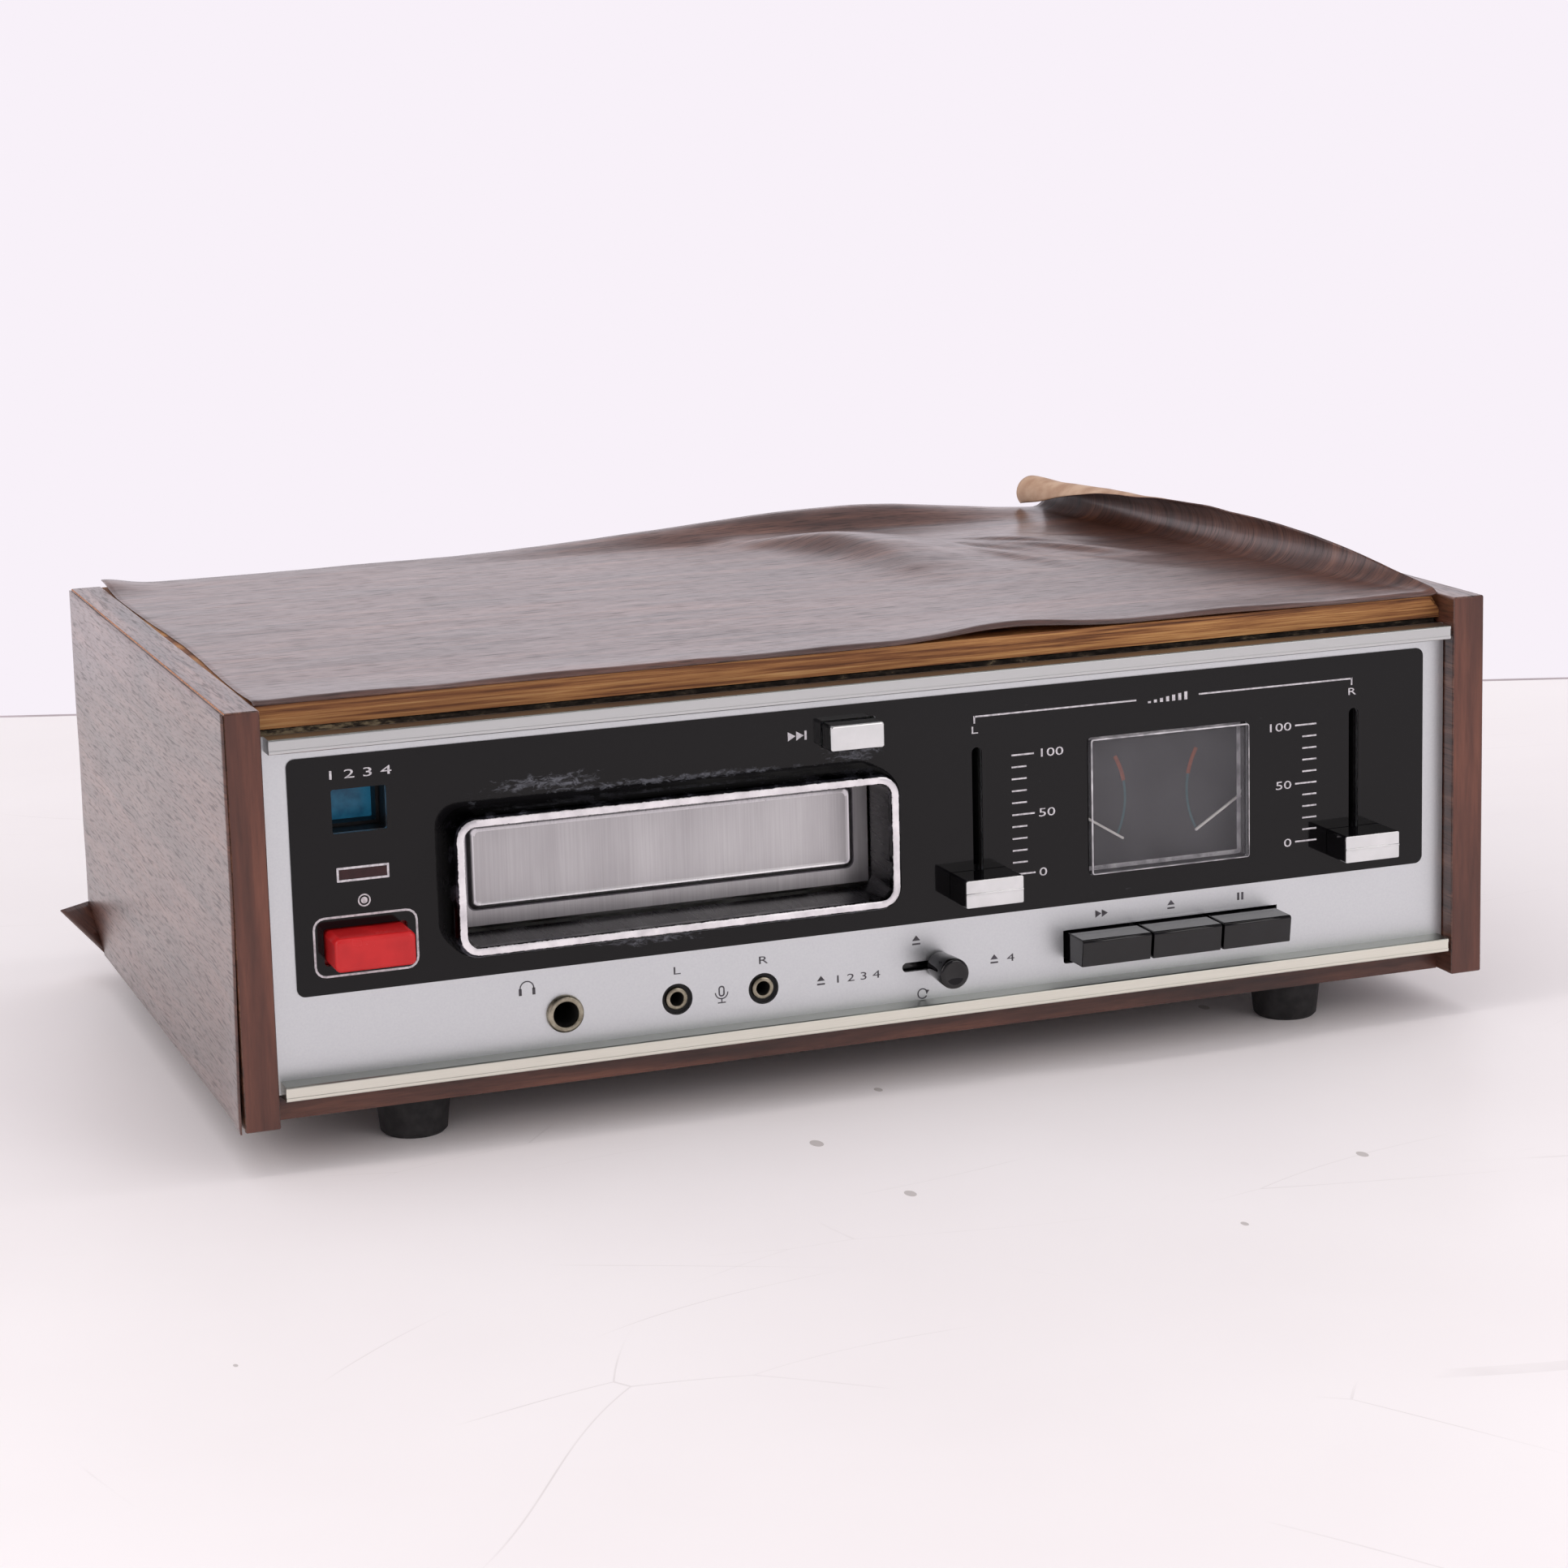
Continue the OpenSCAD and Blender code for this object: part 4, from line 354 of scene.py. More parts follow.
def film_height(x, y):
    """height of the loose film over the board: the big forms, then its creases and ripples"""
    v, s = (y - FILM_Y0) / (FILM_Y1 - FILM_Y0), x - WAVE_X
    h = REAR_WAVE * side_bump(s + 11, 80, 50) * smooth((v - 0.9) / 0.1)
    # the bulge is a ridge that starts near the back and bends round to the front
    crest = 60 - 26 * max((y - 100) / 90, 0) ** 4
    h += BULGE * side_bump(x - crest, 12, 24) * side_bump(y - 168, 50, 20)
    # a lower ridge follows it towards the roll
    h += 1.6 * bump((x - crest - 46) / 18) * bump((y - 150) / 34)
    h += FRONT_LIFT * bump((s + 44) / 22) * bump((y - FILM_Y0) / 17)
    h += 0.25 * FRONT_LIFT * bump((s - 16) / 26) * bump((y - FILM_Y0) / 12)
    h += 2 * bump((x - FILM_X0) / 9) * bump((y - FILM_Y1) / 16)
    # the front edge bends down to the board as a low lip
    loose = 0.75 + 0.45 * noise.noise(Vector((x / 30, 0.5, 9.1)))
    h += loose * smooth((y - FILM_Y0) / 2.6) * bump((y - FILM_Y0) / 15)
    # creases fan out from the bulge to the front right, each about 7 mm wide
    u, w = x - (WAVE_X - 12), y - 168
    reach = math.hypot(u, w)
    turn = math.atan2(-w, max(u, 0.1))
    fan = smooth((reach - 10) / 30) * bump((reach - 52) / 44) * bump((turn - 0.75) / 0.5) * (1 if u > 0 else 0)
    h += 0.5 * fan * (math.sin(17 * turn + 0.03 * reach) + 0.5 * math.sin(31 * turn - 0.05 * reach + 1))
    # slack between the glue spots
    h += 0.22 * smooth((y - 12) / 30) * noise.noise(Vector((x / 36, y / 15, 2.1)))
    h += 0.10 * noise.noise(Vector((x / 11, y / 8, 7.7)))
    return max(h, 0.02 if v < 0.02 else 0.0)


def film_place(s, y):
    """where a point of the flat film lies; s runs along its width, past the board's middle into the roll"""
    v = (y - FILM_Y0) / (FILM_Y1 - FILM_Y0)
    start = FILM_X1 - curl_len(v)
    radius = ROLL_FRONT + (ROLL_BACK - ROLL_FRONT) * v
    radius *= 1 + 0.03 * noise.noise(Vector((0.3, y / 22, 5.0)))
    turn = max(s - start, 0) / radius
    x = min(s, start)
    # the left edge has been pulled in a little near the middle of the side
    pull = 1.5 * bump((y - 96) / 42) * bump((s - FILM_X0) / 12)
    return Vector((x + pull + radius * math.sin(turn), y, CAB_H - FILM_T + film_height(x, y) + radius * (1 - math.cos(turn))))


# the film's bare back: tan, with traces of glue
film_back = mottled("bare_vinyl_back", 160, 4, (0.35, "#A9866C"), (0.65, "#C4A68C"), Roughness=0.55)
walnut_top = walnut("walnut_vinyl_top", "UV", (0, 0, 0), even=0.27)
walnut_flank = walnut("walnut_vinyl_flank", "UV", (0, 0, 0), tint="#FFF4EE", even=0.36)


def film(name, bm, flat, printed, node):
    """makes one sheet: its flat places become its UV map, its thickness is added below the print"""
    marks = bm.loops.layers.uv.new("flat")
    for face in bm.faces:
        face.smooth = True
        for loop in face.loops:
            loop[marks].uv = [c / 1000 for c in flat[loop.vert.index]]
    sheet = place(name, bm, "cabinet", "vinyl_skin", (printed, film_back), (node,), sharp=60, fix=False)
    wall = sheet.modifiers.new("thickness", "SOLIDIFY")
    wall.thickness = FILM_T / 1000
    wall.offset = 1
    wall.material_offset = 1
    return sheet


bm = bmesh.new()
bmesh.ops.create_grid(bm, x_segments=240, y_segments=130, size=0.5)
bm.verts.ensure_lookup_table()
flat = []
for vert in bm.verts:
    # columns stand closer together where the film rolls up
    u, v = vert.co.x + 0.5, vert.co.y + 0.5
    u = u * 1.12 if u < 0.82 else 0.9184 + (u - 0.82) * 0.4533
    # and rows where its front edge bends
    v = v * 0.4 if v < 0.12 else 0.048 + (v - 0.12) * 1.08182
    s, y = FILM_X0 + (FILM_X1 - FILM_X0) * u, FILM_Y0 + (FILM_Y1 - FILM_Y0) * v
    flat.append((s, y))
    vert.co = film_place(s, y)
bm.normal_update()
film("loose_top_film", bm, flat, walnut_top, "top_skin")


# ---- Loose vinyl of the left side ----
# The same film on the left panel, 211.5 by 106 mm. Its rear lower corner has folded outwards along a
# slanted line, and its lower front edge stands off the board by about a millimetre.
FOLD_UP, FOLD_ALONG, FOLD_TURN = 10.8, 23.5, math.radians(97)


def flank_lift(y, z):
    """how far the side's film stands off its board: its low front edge, then a little slack"""
    return 0.8 * smooth((60 - z) / 56) * bump(y / 9) + 0.12 * (1 + noise.noise(Vector((y / 25, z / 18, 3.3))))


bm = bmesh.new()
bmesh.ops.create_grid(bm, x_segments=96, y_segments=64, size=0.5)
for vert in bm.verts:
    vert.co = Vector((0, (0.5 - vert.co.x) * CAB_D, (vert.co.y + 0.5) * (CAB_H - 0.5)))
crease_foot = Vector((0, CAB_D, FOLD_UP))
crease = Vector((0, -FOLD_ALONG, -FOLD_UP)).normalized()
across = Vector((0, crease.z, -crease.y))
bmesh.ops.bisect_plane(bm, geom=bm.verts[:] + bm.edges[:] + bm.faces[:], plane_co=crease_foot, plane_no=across, dist=1e-4)
bm.verts.ensure_lookup_table()
bm.verts.index_update()
flat = []
for vert in bm.verts:
    flat.append((vert.co.y, vert.co.z))
    beyond = (vert.co - crease_foot).dot(across)
    lift = flank_lift(vert.co.y, vert.co.z)
    if abs(beyond) > 1e-3 and vert.co.z < FOLD_UP - (CAB_D - vert.co.y) * FOLD_UP / FOLD_ALONG:
        # past the crease the flap stands out from the panel by a little more than a right angle
        on_line = vert.co - across * beyond
        vert.co = on_line + across * (beyond * math.cos(FOLD_TURN)) - Vector((abs(beyond) * math.sin(FOLD_TURN), 0, 0))
        lift = 0.0
    vert.co.x += FILM_T - CAB_W / 2 - lift
bm.normal_update()
film("loose_side_film", bm, flat, walnut_flank, "side_skin_left")


# ---- Rubber feet and screws ----
# Four turned rubber feet, tapered, each held by a steel screw in its hollow. Moulded black rubber is
# matt and a little grey where it has rubbed on shelves.
# moulded rubber: matt, greyer where it has rubbed
black_rubber = mottled("moulded_black_rubber", 300, 5, (0.35, "#141314"), (0.7, "#2A2829"), pressed=(0.3, 0.0001),
                       Roughness=0.62, Specular_IOR_Level=0.4)
dress("rubber_feet", black_rubber)


def metal(name, pale, dark, rough, grit, brushed=(1, 1, 1), spread=0.09):
    """a metal whose tone and roughness vary: grit is the size of the mottle in mm, brushed its stretch,
    spread how far the roughness wanders either way"""
    material, tree, surface = finish(name, Metallic=1.0, Roughness=rough)
    spot = add(tree, "TexCoord").outputs["Object"]
    stretch = add(tree, "Mapping", {"Vector": spot, "Scale": brushed})
    grain = add(tree, "TexNoise", {"Vector": stretch, "Scale": 1000 / grit, "Detail": 4.0, "Roughness": 0.6})
    tree.links.new(add(tree, "ValToRGB", {"Fac": grain}, stops=((0.3, dark), (0.7, pale))).outputs[0], surface.inputs["Base Color"])
    tree.links.new(add(tree, "MapRange", {0: grain, 3: max(rough - spread, 0.03), 4: rough + spread}).outputs[0], surface.inputs["Roughness"])
    tree.links.new(add(tree, "Bump", {"Height": grain, "Strength": 0.12, "Distance": 0.00005}).outputs[0], surface.inputs["Normal"])
    return material


# zinc-plated steel: cool grey, cloudy
zinc_plate = metal("zinc_plated_steel", "#B9BBB8", "#8E9088", 0.38, 9)
dress("cabinet_screws", zinc_plate)


# ---- Front panel: fascia, black overlay and trim bars ----
# A sheet of satin silver aluminium, a thin overlay lacquered gloss black on it, and two extruded
# champagne-anodised bars across its upper and lower edges. The lacquer is scuffed round the slot.
SLOT_X, SLOT_UP = -59.8, 57.0
OVERLAY_Y, FASCIA_Y = 4.7, 5.0

# aluminium, etched satin and lacquered: even silver with a very fine grain
silver_lacquer = metal("satin_silver_aluminium", "#DDE0E2", "#D6D9DC", 0.4, 0.6)
dress("fascia", silver_lacquer)

# stoved lacquer on thin aluminium: near-black and glossy, with a faint haze
gloss_lacquer, tree, surface = finish("gloss_black_lacquer", Specular_IOR_Level=0.27)
spot = add(tree, "TexCoord").outputs["Object"]
# scuffs of strokes 1 to 3 mm long lie in oval patches round the slot: their middles and half sizes in mm
smear = add(tree, "TexNoise", {"Vector": add(tree, "Mapping", {"Vector": spot, "Scale": (300, 1, 700)}), "Scale": 1.0,
                               "Detail": 7.0, "Roughness": 0.75, "Distortion": 0.8})
zone = None
for x, up, wide, tall in ((-92, 79.8, 24, 3.4), (-9.0, 79.2, 12, 4.2), (-66, 36.6, 24, 3.0), (-60, 77.5, 60, 1.6), (-112, 70, 3, 12)):
    middle = ROW @ Vector((x, OVERLAY_Y, up))
    wide, tall = 1000 / wide, 1000 / tall
    near = add(tree, "Mapping", {"Vector": spot, "Location": (-middle.x * wide, 0, -middle.z * tall), "Scale": (wide, 0, tall)})
    away = add(tree, "VectorMath", {0: near}, operation="LENGTH").outputs["Value"]
    patch = add(tree, "MapRange", {0: away, 1: 0.3, 2: 1.0, 3: 1.0, 4: 0.0})
    zone = add(tree, "Math", {0: zone, 1: patch}, operation="MAXIMUM") if zone else patch
reached = add(tree, "Math", {0: zone, 1: 0.26, 2: -0.22}, operation="MULTIPLY_ADD")
scuff = add(tree, "MapRange", {0: add(tree, "Math", {0: smear, 1: reached}, operation="ADD"), 1: 0.46, 2: 0.68, 3: 0.0, 4: 1.0})
tone = add(tree, "Mix", {0: scuff, 6: linear("#0B0A0C"), 7: linear("#74767E")}, data_type="RGBA")
tree.links.new(tone.outputs[2], surface.inputs["Base Color"])
haze = add(tree, "TexNoise", {"Vector": spot, "Scale": 60.0, "Detail": 5.0})
hazy = add(tree, "MapRange", {0: haze, 1: 0.35, 2: 0.75, 3: 0.05, 4: 0.12})
dulled = add(tree, "Math", {0: scuff, 1: 0.4, 2: hazy}, operation="MULTIPLY_ADD")
tree.links.new(dulled.outputs[0], surface.inputs["Roughness"])
dress("black_overlay", gloss_lacquer)

# anodised over fine drawn lines: cream on the front faces; the upper faces are painted greyer, partly dust and partly a
# painted reflection of the fascia above them
champagne = metal("champagne_anodised_bar", "#E6E4D8", "#E0DED2", 0.3, 0.3, (0.03, 1, 1), 0.02)
tree = champagne.node_tree
surface = tree.nodes["Principled BSDF"]
facing = add(tree, "SeparateXYZ", {"Vector": add(tree, "TexCoord").outputs["Normal"]})
dust_and_reflection_mask = add(tree, "MapRange", {0: facing.outputs["Z"], 1: 0.2, 2: 0.6, 3: 0.0, 4: 0.9})
tone = surface.inputs["Base Color"].links[0].from_socket
# the upper bar is painted greyer: painted shade under the board
upper_bar_shade_mask = add(tree, "MapRange", {0: add(tree, "SeparateXYZ", {"Vector": add(tree, "TexCoord").outputs["Object"]}).outputs["Z"], 1: 0.06, 2: 0.07})
upper_bar_shaded_tone = add(tree, "Mix", {0: upper_bar_shade_mask, 6: tone, 7: linear("#C8CACA")}, data_type="RGBA")
dust_and_reflection_tone = add(tree, "Mix", {0: dust_and_reflection_mask, 6: upper_bar_shaded_tone.outputs[2], 7: linear("#9DA19B")}, data_type="RGBA")
tree.links.new(dust_and_reflection_tone.outputs[2], surface.inputs["Base Color"])
dress("trim_bars", champagne)


# a dark strip closes the gap over the fascia: its dark tone is painted shade of the deep gap, and dust and old yellow
# glue lie on it at the left
gap_shade_finish, tree, surface = finish("dust_on_painted_gap_shade", Roughness=0.9, Specular_IOR_Level=0.2)
spot = add(tree, "TexCoord").outputs["Object"]
fluff = add(tree, "TexNoise", {"Vector": add(tree, "Mapping", {"Vector": spot, "Scale": (1, 3, 3)}), "Scale": 240.0, "Detail": 6.0, "Roughness": 0.7})
glue = add(tree, "MapRange", {0: add(tree, "SeparateXYZ", {"Vector": spot}), 1: -0.150, 2: -0.095, 3: 0.16, 4: 0.0})
lit = add(tree, "Math", {0: fluff, 1: glue}, operation="ADD")
dust_and_shade_tone = add(tree, "ValToRGB", {"Fac": lit}, stops=((0.45, "#1B1612"), (0.6, "#372F27"), (0.72, "#7E7058")))
tree.links.new(dust_and_shade_tone.outputs[0], surface.inputs["Base Color"])
bm = bmesh.new()
block(bm, (-164.5, 8.4, 97.2), (164.5, 12.5, 99.5), 0.5)
bmesh.ops.subdivide_edges(bm, edges=[e for e in bm.edges if e.calc_length() > 100], cuts=120)
for vert in bm.verts:
    if vert.co.z > 98:
        vert.co.z -= 0.5 * abs(noise.noise(Vector((vert.co.x / 9, vert.co.y, 1.0))))
    elif vert.co.y < 9:
        vert.co.y += 0.4 * noise.noise(Vector((vert.co.x / 6, 3.0, 1.0)))
place("gap_felt", bm, "cabinet", "foot_rubber", (gap_shade_finish,))


# ---- Cartridge slot: bezel and door ----
# A moulded black bezel flares forward to a lip that was chrome-plated and has worn at its edges. The
# door behind it is pressed from vertically brushed aluminium and turns on a steel pin.
MOUTH_W, MOUTH_H = 114.2, 30.7
DOOR_Y = 11.2
PIN_Y, PIN_UP = 13.25, 74.05


def outline(bm, x, z, w, h, r, y, steps=6):
    """a flat face with rounded corners that looks to the front"""
    before = set(bm.faces)
    turn = Matrix.Translation((x, y, z)) @ Matrix.Rotation(math.pi / 2, 4, "X") @ Matrix.Diagonal((w, h, 1, 1))
    corners = bmesh.ops.create_grid(bm, x_segments=1, y_segments=1, size=0.5, matrix=turn)["verts"]
    if r:
        bmesh.ops.bevel(bm, geom=corners, offset=r, segments=steps, profile=0.5, affect="VERTICES", material=-1)
    return [f for f in bm.faces if f not in before][0]


def plate(bm, x, z, w, h, r, front, back, edge=0.0, steps=6):
    """a plate with rounded corners from front to back, with its front edge eased"""
    face = outline(bm, x, z, w, h, r, back, steps)
    made = bmesh.ops.extrude_face_region(bm, geom=[face])["geom"]
    bmesh.ops.translate(bm, verts=[g for g in made if isinstance(g, bmesh.types.BMVert)], vec=(0, front - back, 0))
    if edge:
        front_face = [g for g in made if isinstance(g, bmesh.types.BMFace)][0]
        bmesh.ops.bevel(bm, geom=list(front_face.edges), offset=edge, segments=3, profile=0.5, affect="EDGES", material=-1)


def tube(bm, x, z, loops, indices, steps=8):
    """a wall through rounded outlines, each (width, height, radius, y); indices name its finishes.
    The outlines stand 1 mm apart while they are joined, and then move to their own depths."""
    rows = []
    for count, (w, h, r, y) in enumerate(loops):
        face = outline(bm, x, z, w, h, r, count, steps)
        rows.append((list(face.verts), list(face.edges), y))
        bmesh.ops.delete(bm, geom=[face], context="FACES_ONLY")
    for one, two, index in zip(rows, rows[1:], indices):
        for wall in bmesh.ops.bridge_loops(bm, edges=one[1] + two[1])["faces"]:
            wall.material_index = index
    for verts, _, y in rows:
        for vert in verts:
            vert.co.y = y


# ABS, moulded with a high polish: black that mirrors what is near, with a little haze from handling
polished_abs, tree, surface = finish("polished_black_abs", Specular_IOR_Level=0.5)
spot = add(tree, "TexCoord").outputs["Object"]
wear = add(tree, "TexNoise", {"Vector": spot, "Scale": 170.0, "Detail": 6.0, "Roughness": 0.7})
tree.links.new(add(tree, "ValToRGB", {"Fac": wear}, stops=((0.5, "#0A090B"), (0.75, "#151519"))).outputs[0], surface.inputs["Base Color"])
tree.links.new(add(tree, "MapRange", {0: wear, 1: 0.4, 2: 0.75, 3: 0.03, 4: 0.12}).outputs[0], surface.inputs["Roughness"])

# the throat behind the lip was left as moulded: satin, rubbed by cartridges
satin_abs, tree, surface = finish("satin_black_abs", Specular_IOR_Level=0.3)
inward = add(tree, "Mapping", {"Vector": add(tree, "TexCoord").outputs["Object"], "Scale": (1, 0.1, 1)})
scrape = add(tree, "TexNoise", {"Vector": inward, "Scale": 700.0, "Detail": 4.0})
tree.links.new(add(tree, "ValToRGB", {"Fac": scrape}, stops=((0.4, "#0D0C0E"), (0.75, "#141317"))).outputs[0], surface.inputs["Base Color"])
tree.links.new(add(tree, "MapRange", {0: scrape, 1: 0.4, 2: 0.75, 3: 0.26, 4: 0.3}).outputs[0], surface.inputs["Roughness"])

# chrome on plastic: the lip is dulled and chipped along both edges, the flare is thin, dark and patchy.
# The attribute margin holds how far a point lies outside the slot's mouth, in mm.
worn_chrome, tree, surface = finish("worn_chrome_plating", Metallic=1.0)
spot = add(tree, "TexCoord").outputs["Object"]
chip = add(tree, "TexNoise", {"Vector": spot, "Scale": 620.0, "Detail": 7.0, "Roughness": 0.8})
margin = add(tree, "Attribute", attribute_name="margin").outputs["Fac"]
ragged = add(tree, "Math", {0: chip, 1: 1.0, 2: -0.5}, operation="MULTIPLY_ADD")
reach = add(tree, "Math", {0: margin, 1: ragged}, operation="ADD")
inner = add(tree, "MapRange", {0: reach, 1: 0.12, 2: 0.2, 3: 0.0, 4: 1.0})
outer = add(tree, "MapRange", {0: reach, 1: 1.95, 2: 2.05, 3: 1.0, 4: 0.0})
lip = add(tree, "Math", {0: inner, 1: outer}, operation="MULTIPLY")
blot = add(tree, "TexNoise", {"Vector": spot, "Scale": 140.0, "Detail": 5.0, "Roughness": 0.6})
flare_tone = add(tree, "ValToRGB", {"Fac": blot}, stops=((0.42, "#0A0A0C"), (0.55, "#1D1D22"), (0.68, "#5C5C66")))
lip_tone = add(tree, "ValToRGB", {"Fac": blot}, stops=((0.3, "#D2D0D3"), (0.6, "#F8F6F8")))
tone = add(tree, "Mix", {0: lip, 6: flare_tone, 7: lip_tone}, data_type="RGBA")
tree.links.new(tone.outputs[2], surface.inputs["Base Color"])
hazed = add(tree, "MapRange", {0: blot, 1: 0.42, 2: 0.6, 3: 0.08, 4: 0.3})
satin_lip = add(tree, "Math", {0: lip, 1: 0.3}, operation="MULTIPLY")
tree.links.new(add(tree, "Math", {0: hazed, 1: satin_lip}, operation="MAXIMUM").outputs[0], surface.inputs["Roughness"])
tree.links.new(add(tree, "Bump", {"Height": lip, "Strength": 0.5, "Distance": 0.0001}).outputs[0], surface.inputs["Normal"])


def grown(by, y, r):
    """an outline of the bezel, larger than the mouth by some mm all round"""
    return (MOUTH_W + 2 * by, MOUTH_H + 2 * by, r, y)


bm = bmesh.new()
flare = [grown(3.6, 4.7, 6.8), grown(3.6, 2.6, 6.8), grown(3.55, 0.8, 6.7), grown(3.42, -0.8, 6.6), grown(3.2, -2.2, 6.4),
         grown(2.9, -3.4, 6.1), grown(2.55, -4.3, 5.7), grown(2.2, -4.8, 5.4), grown(1.85, -5.0, 5.0), grown(0.55, -5.0, 3.8),
         grown(0.2, -4.9, 3.4), grown(0, -4.4, 3.2), grown(0, -2.5, 3.2), grown(0, 10.9, 3.2),
         grown(1.5, 10.9, 4.7), grown(1.5, 4.7, 4.7), grown(3.6, 4.7, 6.8)]
tube(bm, SLOT_X, SLOT_UP, flare, [1] * 12 + [2] + [0] * 3, 10)
bmesh.ops.remove_doubles(bm, verts=bm.verts, dist=1e-3)
margin = bm.verts.layers.float.new("margin")
for vert in bm.verts:
    away = Vector((max(abs(vert.co.x - SLOT_X) - MOUTH_W / 2 + 3.2, 0), max(abs(vert.co.z - SLOT_UP) - MOUTH_H / 2 + 3.2, 0)))
    vert[margin] = away.length - 3.2
for side in (-1, 1):
    ear = SLOT_X + side * (MOUTH_W / 2 + 0.95)
    block(bm, (ear - 0.75, 9.0, PIN_UP - 4), (ear + 0.75, PIN_Y + 2.0, PIN_UP + 2.0), 0.5)
place("slot_bezel", bm, "cabinet", "gloss_black", (polished_abs, worn_chrome, satin_abs), ("cartridge_bezel",), sharp=50)

# aluminium brushed upright with a wire wheel; the pressed ridge is painted brighter as a highlight and its crease
# darker as shade
brushed_door = metal("upright_brushed_aluminium", "#CFCECF", "#C0BEC0", 0.36, 0.5, (1, 1, 0.02))
tree = brushed_door.node_tree
surface = tree.nodes["Principled BSDF"]
spot = add(tree, "TexCoord").outputs["Object"]
cloud = add(tree, "TexNoise", {"Vector": add(tree, "Mapping", {"Vector": spot, "Scale": (45, 1, 18)}), "Scale": 1.0, "Detail": 4.0})
tone = surface.inputs["Base Color"].links[0].from_socket
shade = add(tree, "Mix", {0: 0.7, 6: tone, 7: add(tree, "ValToRGB", {"Fac": cloud}, stops=((0.3, "#D8D6D8"), (0.6, "#FFFFFF")))},
            data_type="RGBA", blend_type="MULTIPLY")
tree.links.new(shade.outputs[2], surface.inputs["Base Color"])
ridge_highlight_finish = metal("aluminium_ridge_painted_highlight", "#E2E0E3", "#CBC9CD", 0.3, 0.8, (1, 1, 0.1))
crease_shade_finish = metal("aluminium_crease_painted_shade", "#77747A", "#5F5C62", 0.45, 0.8)

bm = bmesh.new()
half, low = MOUTH_W / 2 - 0.45, SLOT_UP - MOUTH_H / 2 + 1.4
# a pressed panel: a flat edge, a crease, a rounded ridge 1 mm proud, and the field a little behind it
door_w, door_h, door_up = 2 * half, PIN_UP - low, (low + PIN_UP) / 2
steps = [(0, 0.3, 0.8), (0, 0.3, 0.0), (8.0, 2.2, 0.0), (8.6, 2.1, 0.0), (9.4, 1.9, -0.45), (10.2, 1.7, -0.85), (11.1, 1.5, -1.0),
         (11.9, 1.3, -0.85), (12.9, 1.1, -0.7)]
# the crease takes the painted shade, the ridge's crest the painted highlight
tube(bm, SLOT_X, door_up, [(door_w - by, door_h - by, r, DOOR_Y + y) for by, r, y in steps], [0, 0, 2, 0, 0, 1, 1, 0], 5)
outline(bm, SLOT_X, door_up, door_w - 12.9, door_h - 12.9, 1.1, DOOR_Y - 0.7, 5)
outline(bm, SLOT_X, door_up, door_w, door_h, 0.3, DOOR_Y + 0.8, 5)
bmesh.ops.remove_doubles(bm, verts=bm.verts, dist=1e-3)
for face in bm.faces:
    # the upper slope of the ridge is painted bright too: a painted highlight where light from above fills it
    middle = face.calc_center_median()
    if face.material_index == 0 and DOOR_Y - 0.95 < middle.y < DOOR_Y - 0.1 and middle.z > SLOT_UP + 8:
        face.material_index = 1
for span in ((-half, -8), (8, half)):
    bmesh.ops.create_cone(bm, cap_ends=True, segments=24, radius1=2.02, radius2=2.02, depth=span[1] - span[0],
                          matrix=Matrix.Translation((SLOT_X + sum(span) / 2, PIN_Y, PIN_UP)) @ Matrix.Rotation(math.pi / 2, 4, "Y"))
place("slot_door", bm, "door", "satin_aluminium", (brushed_door, ridge_highlight_finish, crease_shade_finish), ("cartridge_door",), sharp=35)

# drawn steel, bright and hardly marked
bright_steel = metal("bright_steel_wire", "#D6D7D8", "#A9ABAD", 0.22, 4)
for node in ("door_pin", "door_spring", "return_springs", "capstan", "volume_lever_left", "volume_lever_right", "solenoid_plunger"):
    dress(node, bright_steel)
for node in ("cartridge_guide", "chassis", "deck_plate", "key_frame"):
    dress(node, zinc_plate)


# ---- Programme window and record lamp ----
# A deep matt black tunnel ends in a square blue lens with lamps behind it. Below it, a small dark
# red lens sits flush in the overlay. The lamps and their board stand behind both.
RECORD_X, RECORD_UP, WINDOW_UP, LAMP_UP = -140.7, 43.7, 77.9, 61.9
# ABS moulded in a blasted tool: an even, matt black that swallows light
matt_black = mottled("matt_black_abs", 700, 3, (0.35, "#111112"), (0.7, "#1B1B1C"), pressed=(0.3, 0.00008),
                     Roughness=0.5, Specular_IOR_Level=0.35)


def lens(name, bright, deep, painted_glow):
    """dyed acrylic, its tone wandering in cloudy spots between deep and bright; the last argument sets a painted glow,
    an emission in the same colours that stands for light from behind
    """
    material, tree, surface = finish(name, Roughness=0.25, Specular_IOR_Level=0.35, IOR=1.49, Emission_Strength=painted_glow)
    cloud = add(tree, "TexNoise", {"Vector": add(tree, "TexCoord").outputs["Object"], "Scale": 240.0, "Detail": 4.0})
    colour = add(tree, "ValToRGB", {"Fac": cloud}, stops=((0.35, deep), (0.65, bright)))
    tree.links.new(colour.outputs[0], surface.inputs["Base Color"])
    tree.links.new(colour.outputs[0], surface.inputs["Emission Color"])
    return material


# both lenses have a painted glow: the blue one more, as if lit from behind; the red one, which is off, a little
blue_lens = lens("dyed_blue_acrylic", "#2A789C", "#165474", 0.2)
red_lens = lens("dyed_red_acrylic", "#34181A", "#261012", 0.1)
dress("program_lens", blue_lens)
dress("record_lens", red_lens)

bm = bmesh.new()
wx, wall = RECORD_X - 0.2, 1.6
